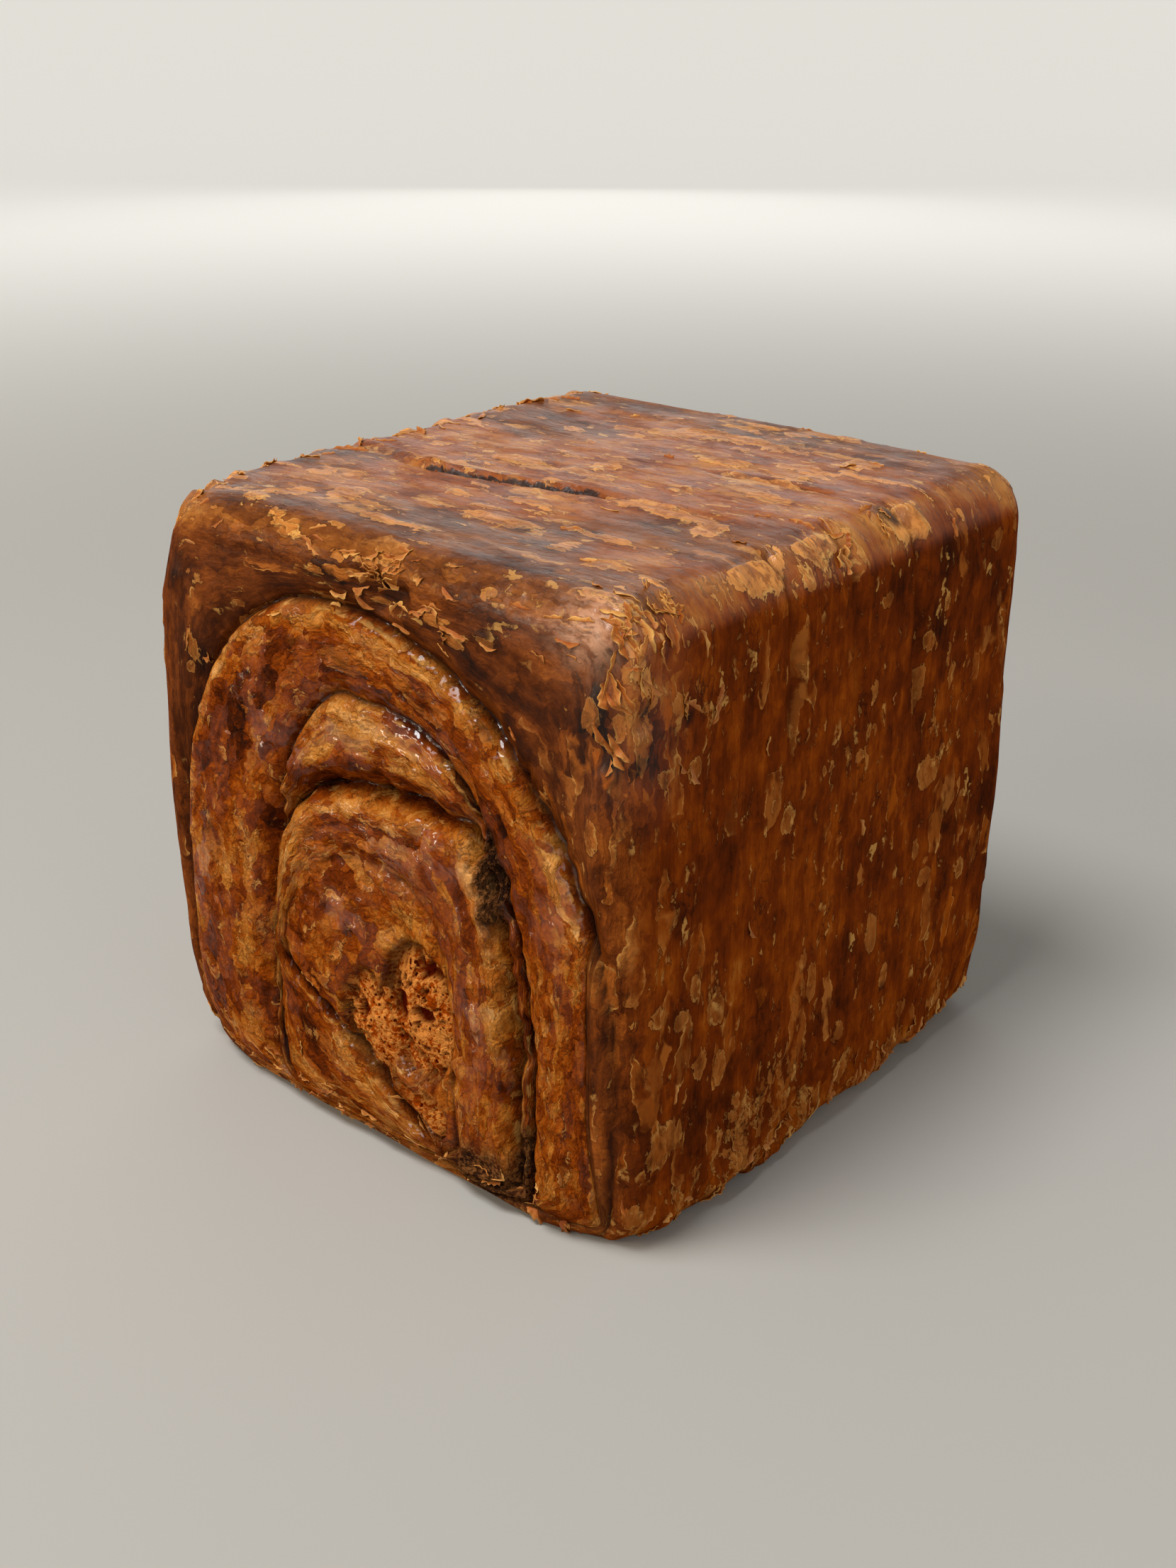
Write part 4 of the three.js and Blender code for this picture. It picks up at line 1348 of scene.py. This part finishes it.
# %% [markdown]
# Lifted flakes
#
# A lifted flake has a pale torn rim, partly a painted highlight where its edge catches the light, and a
# painted shadow in a thin dark gap under it. The stored flake field gives the place, and fine noise tears the
# rim, because the mesh is too coarse for tears of a tenth of a millimetre. Between the flakes, clusters of
# small films have cracked apart, with painted shade in the cracks.

# %% Thin films with torn rims
FLAKE_GOLD, COIL_AMBER, FILM_BROWN = (0.66, 0.265, 0.058), (0.43, 0.122, 0.014), (0.23, 0.058, 0.006)
# The darkest colour is painted shade, for gaps, cracks, creases and holes.
PAINTED_SHADE = (0.008, 0.004, 0.003)
FILM_RISE, RIM_START, RIM_STOP = 0.025, 0.02, 0.16
GAP_WIDTH, GAP_SHADE = 0.07, 0.35

golden_edge, crumbly = recipe.field("golden"), recipe.field("crumbly")
film_tint = recipe.blend(coiled, recipe.blend(golden_edge, FLAKE_AMBER, FLAKE_GOLD), COIL_AMBER)
film_shade = 0.75 * recipe.step(torn + 0.6 * (crinkle - 0.5), 0.56, 0.40)
film_tint = recipe.blend(film_shade, film_tint, FILM_BROWN)


def lay_film(colour, field, start, inner, outer):
    """Lay a thin layer where the field is above the start, with a pale torn rim that is partly a painted
    highlight, and a painted shadow in the gap under it.
    """
    inside = recipe.step(field, start, start + FILM_RISE)
    rim = inside - recipe.step(field + 0.5 * (torn - 0.5), start + RIM_START, start + RIM_STOP)
    gap_shadow = recipe.step(field, start - GAP_WIDTH, start) - inside
    colour = recipe.blend(gap_shadow * GAP_SHADE, colour, PAINTED_SHADE)
    colour = recipe.blend(inside * inner, colour, film_tint)
    rim = rim * recipe.step(mottle, 0.40, 0.60)
    return recipe.blend(rim * outer, colour, FLAKE_PALE), inside


small_field = recipe.noise(offset, (5.5, 5.5, 1.6), 4.0, 0.6) + 0.25 * (stored_tone - 0.5)
small_field = small_field + crumbly * (0.12 + 1.4 * (crinkle - 0.5))
colour, small_film = lay_film(colour, small_field, 0.62, 0.2 + 0.4 * small_tone, 0.4)
big_field = recipe.field("flake") + 0.25 * (crinkle - 0.5) + 0.7 * (torn - 0.5)
big_cover = 0.25 + 0.25 * golden_edge + 0.5 * recipe.step(streaks, 0.38, 0.62)
colour, big_film = lay_film(colour, big_field, 0.0, big_cover, 0.4 + 0.3 * golden_edge)
print("lifted flakes:", len(recipe.tree.nodes), "nodes")

# %% Painted shade in cracks, specks, and pale lips with painted highlight
cluster = recipe.step(recipe.noise(offset, (15, 15, 8), 2.0), 0.54, 0.64) * (1 - coiled)
# Painted shade: the cracks between small films are darkened in the colour.
colour = recipe.blend(seam(small_vector, 0.01, 0.07) * (0.5 * cluster + 0.25 * coiled), colour, PAINTED_SHADE)
specks = recipe.step(small_shine, 0.86, 0.88) * recipe.step(crinkle, 0.45, 0.55)
colour = recipe.blend(specks * cluster * 0.6, colour, FLAKE_PALE)
# The pale lips are torn edges and also a painted highlight where the raised edge catches the light.
lit_pale_lip = recipe.step(recipe.field("lip") + 0.6 * (torn - 0.5), 0.25, 0.45)
colour = recipe.blend(lit_pale_lip * 0.55, colour, FLAKE_PALE)
print("cracks, specks and lips:", len(recipe.tree.nodes), "nodes")

# %% [markdown]
# Crumb, burnt places and painted shade
#
# The crumb is light and grainy with reddish hollows and painted shade in its pores, and the burnt corners are
# black with brown grains. They could be materials of their own, but those would meet the crust in hard lines,
# so masks blend them in. A painted highlight lightens the near top corner to a mauve sheen. The painted shade
# of the creases and of the crack on the top comes last, because they are deepest.

# %% Crumb, burnt places and painted shade in deep creases
SHEEN_MAUVE = (0.50, 0.245, 0.135)
BURNT_DARK, BURNT_BROWN = (0.016, 0.009, 0.006), (0.16, 0.062, 0.020)
CRUMB_LIGHT, CRUMB_RED, CRUMB_PORE_SHADE = (0.62, 0.225, 0.045), (0.27, 0.038, 0.001), (0.060, 0.003, 0.001)
HOLE_SCALE = 700.0

burnt_mask = recipe.field("burnt")
holes = recipe.node("ShaderNodeTexVoronoi", None, {"Vector": spot, "Scale": HOLE_SCALE}, "Distance")
small_holes = 1 - recipe.step(holes + 0.9 * (crinkle - 0.5), 0.12, 0.24)
crumb_tint = recipe.blend(recipe.step(granules, 0.38, 0.56), CRUMB_RED, CRUMB_LIGHT)
# Painted shade: the pores and small holes of the crumb are darkened in the colour.
crumb_tint = recipe.blend(recipe.larger(recipe.field("pore"), small_holes), crumb_tint, CRUMB_PORE_SHADE)
colour = recipe.blend(crumb_mask * 0.9, colour, crumb_tint)
burnt_tint = recipe.blend(recipe.step(granules, 0.46, 0.58), BURNT_DARK, BURNT_BROWN)
colour = recipe.blend(burnt_mask * 0.9, colour, burnt_tint)
# Painted highlight: the mauve sheen at the near top corner is painted into the colour, not given by the
# gloss.
sheen = recipe.field("sheen") * (0.2 + 0.7 * recipe.step(torn + 0.5 * (crinkle - 0.5), 0.36, 0.62))
colour = recipe.blend(sheen, colour, SHEEN_MAUVE)
# Painted shade: the bottoms of creases, folds, torn places and holes are darkened in the colour.
colour = recipe.blend(recipe.field("crevice") * 0.85, colour, PAINTED_SHADE)
# Painted shade: the bottom of the crack on the top is a dark line in the colour.
crack_side = abs(recipe.field("crack") - 0.45 + 1.6 * (torn - 0.5)) + 0.9 * (1 - recipe.field("open"))
crack_shade_line = 1 - recipe.step(crack_side + 0.8 * (streaks - 0.5), 0.25, 0.55)
colour = recipe.blend(crack_shade_line * 0.92, colour, PAINTED_SHADE)
print("crumb and burnt places:", len(recipe.tree.nodes), "nodes")

# %% [markdown]
# Matt and satin crust
#
# Most of the crust is matt. Where butter baked into a film it shines, and the film lies smooth over the
# wrinkles below. One shader with a varying roughness gives a grey haze there. So there are two with one
# colour, a matt one with all the fine bumps and a satin one with soft folds only, and a mask mixes them.

# %% Bumps of the matt crust and of the film on it
BUMP_DISTANCE = 1.3 * MILLIMETRE
MATT_STRENGTH, FILM_STRENGTH = 0.75, 0.9

bumps = 0.16 * fibres + 1.0 * top * ripples + (0.18 + 0.2 * coiled + 0.9 * crumbly) * crinkle
bumps = bumps + 0.25 * big_film + 0.15 * small_film + 0.2 * veil
bumps = bumps + 0.3 * coiled * big_height + (0.06 + 0.24 * coiled) * small_height
bumps = bumps + (0.2 + 1.4 * coiled) * wrinkles + 1.2 * coiled * (1 - crumb_mask) * fine_wrinkles
bumps = bumps + crumb_mask * (0.9 * granules - 0.6 * small_holes) + burnt_mask * granules
sheet_bumps = 0.16 * fibres + top * ripples + 0.35 * crinkle
film_bumps = 0.5 * sheet_bumps * (1 - coiled) + 1.15 * coiled * soft_folds
print("bumps of the crust:", len(recipe.tree.nodes), "nodes")

# %% Finish the crust
MATT_SPECULAR, FILM_SPECULAR = 0.0, 0.7

matt = recipe.shader(
    Base_Color=colour,
    Roughness=0.55 + 0.3 * crumb_mask,
    Specular_IOR_Level=MATT_SPECULAR,
    Normal=recipe.bump(bumps, MATT_STRENGTH, BUMP_DISTANCE),
)
satin = recipe.shader(
    Base_Color=colour,
    Roughness=0.46 - 0.36 * coiled + 0.3 * (1 - coiled) * (mottle - 0.5),
    Specular_IOR_Level=FILM_SPECULAR,
    Normal=recipe.bump(film_bumps, FILM_STRENGTH, BUMP_DISTANCE),
)
coil_shine = 0.15 + 0.75 * recipe.step(mottle + 0.4 * (big_shine - 0.5), 0.42, 0.62)
top_shine = 0.5 + 0.5 * recipe.step(recipe.noise(offset, (11, 11, 5), 3.0), 0.36, 0.62)
satin_share = recipe.field("gloss") * (1 - coiled * (1 - coil_shine))
satin_share = satin_share * (1 - crumb_mask) * (1 - top * (1 - top_shine))
recipe.finish(recipe.mix_shaders(satin_share, matt, satin))
crust_mesh.materials.append(recipe.material)
print("crust material:", len(recipe.tree.nodes), "nodes")

# %% [markdown]
# Loose flakes
#
# Along the edges the layers come off in thin curled flakes. Each is a small ragged sheet with a thickness,
# laid on the crust and lifted at its free side. Modelling one and scattering copies would leave every flake
# the same, so each gets its own outline, size and curl.

# %% A way to lay things on the crust
def crust_steps(points):
    """Give each point's outward direction, and one step round the roll and one along it, in millimetres."""
    step_round = np.roll(points, -1, 1) - np.roll(points, 1, 1)
    step_along = np.gradient(points, axis=0)
    normal = np.cross(step_along, step_round)
    length = np.maximum(np.linalg.norm(normal, axis=-1, keepdims=True), 1e-9)
    return normal / length, step_round / 2, step_along


def sample(grid, row, column):
    """Read a grid between its rows and columns."""
    row = np.clip(row, 0, rows - 1.001)
    r, c = np.floor(row).astype(int), np.floor(column).astype(int)
    row_part, column_part = (row - r)[..., None], (column - c)[..., None]
    low = mix(grid[r, c % columns], grid[r, (c + 1) % columns], column_part)
    high = mix(grid[r + 1, c % columns], grid[r + 1, (c + 1) % columns], column_part)
    return mix(low, high, row_part)


crust_normal, step_round, step_along = crust_steps(points)
round_length, along_length = np.linalg.norm(step_round, axis=-1), np.linalg.norm(step_along, axis=-1)
print("longest step round the roll:", round(float(round_length.max()), 2), "mm")

# %% One flake
FLAKE_LONG, FLAKE_WIDE = 15, 5
FLAKE_POINTS = FLAKE_LONG * FLAKE_WIDE
FLAKE_THICKNESS = 0.14
FLAKE_SEAT = 0.05
JAG_BLUR = [0.25, 0.5, 0.25]
random = np.random.default_rng(20)


def loose_flake(row, column, big, frills, lean):
    """Lay one ragged flake at a point of the crust and curl its free side up."""
    length, width = random.uniform(0.8, 2.2) * big, random.uniform(0.35, 0.8) * big
    s = np.linspace(-1, 1, FLAKE_LONG)[:, None]
    t = np.linspace(0, 1, FLAKE_WIDE)[None, :]
    jag = 1 + np.convolve(random.normal(0, 0.45, FLAKE_LONG), JAG_BLUR, "same")[:, None]
    outer = width * jag * np.maximum(1 - s ** 2, 0.02) ** 0.6
    bend = random.normal(0, 0.35) * width * s ** 2
    frill = 0.65 + 0.35 * np.sin(random.uniform(*frills) * s + random.uniform(0, 6))
    curl = random.uniform(0.25, 0.9) * min(width, 1.3)
    side = random.choice((-1, 1))
    turn = random.normal(0, lean)
    flat_x, flat_y = length * s + 0 * t, side * (outer * t + bend)
    along_roll = flat_y * math.cos(turn) + flat_x * math.sin(turn)
    round_roll = flat_x * math.cos(turn) - flat_y * math.sin(turn)
    grid_row = row + along_roll / along_length[row, column]
    grid_column = column + round_roll / round_length[row, column]
    grid_place = (grid_row, grid_column)
    seat, outward = sample(points, *grid_place), sample(crust_normal, *grid_place)
    lift = (FLAKE_SEAT + curl * frill * t ** 1.6)[..., None]
    upper, under = seat + outward * lift, seat + outward * (lift - FLAKE_THICKNESS)
    return (upper, under) if side > 0 else (upper[::-1], under[::-1])


print("points on one flake:", 2 * FLAKE_POINTS)

# %% Faces of one flake
def flake_faces(first):
    """Give the upper face, the under face and the wall between them."""
    index = first + np.arange(FLAKE_POINTS).reshape(FLAKE_LONG, FLAKE_WIDE)
    face = np.stack([index[:-1, :-1], index[:-1, 1:], index[1:, 1:], index[1:, :-1]], -1).reshape(-1, 4)
    rim = np.concatenate([index[0, :-1], index[:-1, -1], index[-1, :0:-1], index[:0:-1, 0]])
    after = np.roll(rim, -1)
    wall = np.stack([rim, rim + FLAKE_POINTS, after + FLAKE_POINTS, after], -1)
    return np.concatenate([face, face[:, ::-1] + FLAKE_POINTS, wall])


print("faces of one flake:", len(flake_faces(0)))

# %% Choose where flakes come loose
FLAKE_COUNT = 260
CLEAR_ROWS = 8
LEAST_STEP, LEAST_HEIGHT = 0.6, 1.5

wish = weigh(
    0.004,
    (0.14, top_left_edge),
    (0.06, top_right_edge),
    (0.012, top_face),
    (1.2, near_corner * ease(97, 106, upward)),
    (0.6, crown_tear),
    (0.2, end_edge * ease(90, 112, upward)),
    (0.4, foot_edge),
)
area = np.linalg.norm(np.cross(step_round, step_along), axis=-1)
wish = wish * (round_length > LEAST_STEP)
wish = wish * area * (1 - bottom) * (upward > LEAST_HEIGHT) * (1 - crumb)
wish[:CLEAR_ROWS] = 0
wish[-CLEAR_ROWS:] = 0
chosen = random.choice(wish.size, FLAKE_COUNT, replace=False, p=(wish / wish.sum()).ravel())
print("places for loose flakes:", len(chosen))

# %% Lay the scattered flakes
FLAKE_FRILLS, FLAKE_LEAN = (3, 7), 0.35

flake_points, flake_quads, flake_tones = [], [], []
free_edge = np.broadcast_to(np.linspace(0, 1, FLAKE_WIDE), (FLAKE_LONG, FLAKE_WIDE)).ravel()


def lay_flake(number, *kind):
    sides = loose_flake(*divmod(int(number), columns), *kind)
    flake_quads.append(flake_faces(len(flake_points) * FLAKE_POINTS))
    flake_points.extend(side.reshape(-1, 3) for side in sides)


bigger = 1 + 0.4 * (near_corner + crown_tear).ravel()
for number in chosen:
    lay_flake(number, bigger[number], FLAKE_FRILLS, FLAKE_LEAN)
    flake_tones += 2 * [0.6 * random.uniform(0.0, 1.0) + 0.4 * free_edge ** 2]
print("scattered flakes:", len(flake_quads))

# %% [markdown]
# Ruffled films
#
# At the near top corner, the torn crown, the top edges and the foot the films hang together in ruffles. They
# are flakes too, but larger, more frilled and turned every way, and they are set at the places of the real
# ones: across, along and up in millimetres, with how many flakes each ruffle has. Cloth left to crumple would
# look as loose, but it would not stay at its place.

# %% Lay the ruffles
RUFFLES = [
    (55.5, -57, 112, 9), (55, -60, 103, 6), (53.5, -60, 90.5, 4), (57, -46.5, 114, 4), (51.5, -46, 115, 3),
    (56.5, -44.6, 97, 4), (56.5, -37, 95, 3), (56.5, -43, 84.5, 2), (2, -60, 110.5, 6), (19, -60, 104, 4),
    (-45, -60, 85.5, 2), (49, -3.5, 115, 4), (57, -2, 111.5, 4), (52.5, 12, 115, 4),
]
RUFFLES += [(-50, along_edge, 114, 3) for along_edge in range(-54, 56, 9)]
RUFFLES += [(56, along_edge, 3.5, 2) for along_edge in range(-52, 56, 9)]
RUFFLES += [(across_foot, -59, 3.5, 2) for across_foot in range(-45, 50, 9)]
RUFFLE_SPREAD = 1.9
RUFFLE_SIZE, RUFFLE_FRILLS, RUFFLE_LEAN = 1.35, (6, 11), 0.9

for *ruffle_middle, count in RUFFLES:
    for _ in range(count):
        ruffle_place = np.array(ruffle_middle) + random.normal(0, RUFFLE_SPREAD, 3)
        nearest = ((place - ruffle_place) ** 2).sum(-1).argmin()
        lay_flake(nearest, RUFFLE_SIZE, RUFFLE_FRILLS, RUFFLE_LEAN)
        flake_tones += 2 * [0.05 + 0.3 * random.uniform(0.0, 1.0) + 0.5 * free_edge ** 3]
print("flakes laid:", len(flake_quads))

# %% Build the mesh of the flakes
LOWEST = 0.05
NO_TRIANGLES = np.zeros((0, 3), dtype=int)

loose_vertices = np.concatenate(flake_points)
loose_vertices[:, 2] = np.maximum(loose_vertices[:, 2], LOWEST)
loose_quads = np.concatenate(flake_quads)
loose_mesh = mesh_from_arrays("loose_flakes", loose_vertices * MILLIMETRE, loose_quads, NO_TRIANGLES)
store(loose_mesh, "tone", "FLOAT", np.concatenate(flake_tones))
loose = add_object("loose_flakes", loose_mesh)
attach(loose, "root")
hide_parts("loaf")
print("loose flakes:", len(flake_quads), "with", len(loose_vertices), "points")

# %% [markdown]
# The flakes' finish
#
# A flake is one thin layer of pastry: amber where it is still joined to the crust, and pale at its dry free
# edge. The stored tone runs that way, and a fine mottle breaks it up. The crust's own recipe would be heavy,
# and a flake is too small to show it.

# %% Flake material
FLAKE_BROWNING = [(0.0, BROWNING[3][1]), (0.45, FLAKE_AMBER), (0.9, FLAKE_PALE)]

flake_recipe = Recipe("flake_skin")
flake_mottle = flake_recipe.noise(flake_recipe.object_place(), 3 * (2 * MILLIMETRE,), 4.0)
flake_browned = flake_recipe.field("tone") + 0.8 * (flake_mottle - 0.5)
flake_shader = flake_recipe.shader(
    Base_Color=flake_recipe.ramp(flake_browned, FLAKE_BROWNING),
    Roughness=0.42,
    Specular_IOR_Level=0.15,
    Normal=flake_recipe.bump(flake_mottle, 0.5, 0.6 * MILLIMETRE),
)
flake_recipe.finish(flake_shader)
loose_mesh.materials.append(flake_recipe.material)
print("flake material:", len(flake_recipe.tree.nodes), "nodes")

# %% [markdown]
# Floor
#
# The loaf stands on a plain pale floor that curves up into a wall, as paper does in a photographer's tent.
# A flat plane would end in a hard horizon. The wall glows a little, so that it stays light so far from the
# lamps.

# %% A floor that curves up
TENT_RADIUS, TENT_CURVE, TENT_SIDES, TENT_STEPS = 1.5, 0.5, 96, 12


def tent_mesh():
    bend = np.linspace(0, math.pi / 2, TENT_STEPS)
    radius = np.concatenate([TENT_RADIUS + TENT_CURVE * np.sin(bend), [TENT_RADIUS + TENT_CURVE]])
    height = np.concatenate([TENT_CURVE * (1 - np.cos(bend)), [2 * TENT_CURVE]])
    angle = 2 * math.pi * np.arange(TENT_SIDES) / TENT_SIDES
    ring_x, ring_y = np.outer(radius, np.cos(angle)), np.outer(radius, np.sin(angle))
    places = np.stack([ring_x, ring_y, np.repeat(height[:, None], TENT_SIDES, 1)], -1).reshape(-1, 3)
    index = np.arange(len(places)).reshape(-1, TENT_SIDES)
    after = np.roll(index, -1, 1)
    quads = np.stack([index[:-1], index[1:], after[1:], after[:-1]], -1).reshape(-1, 4)
    middle = np.stack([np.full(TENT_SIDES, len(places)), index[0], after[0]], -1)
    return mesh_from_arrays("floor", np.concatenate([places, [[0, 0, 0]]]), quads, middle)


floor_mesh = tent_mesh()
floor = add_object("floor", floor_mesh)
print("floor out to", TENT_RADIUS + TENT_CURVE, "metres, with", len(floor_mesh.vertices), "points")

# %% Floor material
FLOOR_COLOUR, WALL_GLOW, BLACK = (0.40, 0.388, 0.365), (0.50, 0.495, 0.465), (0, 0, 0)
GLOW_START, GLOW_FULL = 0.3, 1.3

floor_recipe = Recipe("pale_floor")
floor_place = floor_recipe.object_place()
floor_away = floor_recipe.node("ShaderNodeVectorMath", {"operation": "LENGTH"}, {0: floor_place}, "Value")
glow_share = floor_recipe.step(floor_away, GLOW_START, GLOW_FULL)
wall_glow = floor_recipe.blend(glow_share, BLACK, WALL_GLOW)
floor_shader = floor_recipe.shader(
    Base_Color=FLOOR_COLOUR,
    Roughness=0.8,
    Specular_IOR_Level=0.0,
    Emission_Color=wall_glow,
    Emission_Strength=1.0,
)
floor_recipe.finish(floor_shader)
floor_mesh.materials.append(floor_recipe.material)
print("floor material:", len(floor_recipe.tree.nodes), "nodes")

# %% [markdown]
# Light
#
# The light is soft studio light: a wide lamp overhead, a dim world, and weak lamps behind and at the right.
# Two narrow warm strips stand in front of the coiled end. A wide lamp would only veil its shine, while a
# strip is small enough to show in each glossy fold as a glint.

# %% World and lamps
WORLD_COLOUR, WORLD_STRENGTH = (0.80, 0.80, 0.77, 1), 0.28
WHITE, WARM = (1, 1, 1), (1.0, 0.86, 0.66)

world = bpy.data.worlds.new("studio")
world.use_nodes = True
background = world.node_tree.nodes["Background"]
background.inputs["Color"].default_value = WORLD_COLOUR
background.inputs["Strength"].default_value = WORLD_STRENGTH
bpy.context.scene.world = world


def soft_light(name, stand, target, size, power, length=None, tint=WHITE):
    """Add a round lamp, or a strip where a length is given, that looks at its target."""
    light = bpy.data.lights.new(name, "AREA")
    light.shape = "RECTANGLE" if length else "DISK"
    light.size = length or size
    light.size_y = size
    light.energy = power
    light.color = tint
    lamp = add_object(name, light)
    lamp.location = stand
    lamp.rotation_euler = (Vector(target) - Vector(stand)).to_track_quat("-Z", "Y").to_euler()
    lamp.visible_camera = False
    print("lamp", name, "of", power, "watts")


soft_light("ceiling", (-0.1, -0.45, 1.1), (0, 0, 0.05), 0.5, 11.3)
soft_light("front_left", (-0.8, -0.93, 0.25), (0, 0, 0.05), 0.09, 2.8, 0.5, WARM)
soft_light("upper_left", (-0.3, -1.0, 0.8), (0, 0, 0.05), 0.13, 3.5, 0.6, WARM)
soft_light("behind", (-0.85, 0.95, 0.6), (0, 0, 0.11), 1.2, 3.5)
soft_light("right", (1.1, -0.1, 0.5), (0, 0, 0.06), 0.9, 1.6)

# %% [markdown]
# Camera
#
# The camera stands where the photograph was taken from. Its angles, distance and focal length were fitted
# to the corners of the loaf, and are turned into a place and three directions here. A camera turned by eye
# would never bring the outline to the same pixels.

# %% Camera at the photograph's angle
PHOTO_HEIGHT = 2212
FOCAL_PIXELS = 2600.0
SENSOR = 36
NEAREST = 0.01
AZIMUTH, ELEVATION, ROLL = (math.radians(angle) for angle in (40.8, 24.18, 0.294))
AWAY, ASIDE, RAISE, LOOK_HEIGHT = 0.3595, -0.00046, -0.0045, 0.0575

flat = math.cos(ELEVATION)
back = Vector((math.sin(AZIMUTH) * flat, -math.cos(AZIMUTH) * flat, math.sin(ELEVATION)))
level = Vector((0, 0, 1)).cross(back).normalized()
upright = back.cross(level)
right_hand = level * math.cos(ROLL) + upright * math.sin(ROLL)
overhead = upright * math.cos(ROLL) - level * math.sin(ROLL)
eye = Vector((0, 0, LOOK_HEIGHT)) + back * AWAY + right_hand * ASIDE + overhead * RAISE
camera_data = bpy.data.cameras.new("camera")
camera_data.sensor_width = SENSOR
camera_data.lens = SENSOR * FOCAL_PIXELS / PHOTO_HEIGHT
camera_data.clip_start = NEAREST
camera = add_object("camera", camera_data)
axes = Matrix((right_hand, overhead, back)).transposed()
camera.matrix_world = Matrix.Translation(eye) @ axes.to_4x4()
bpy.context.scene.camera = camera
bpy.context.scene.view_settings.view_transform = "Standard"
print("camera with a lens of", round(camera_data.lens, 1), "mm at", [round(axis, 3) for axis in eye])
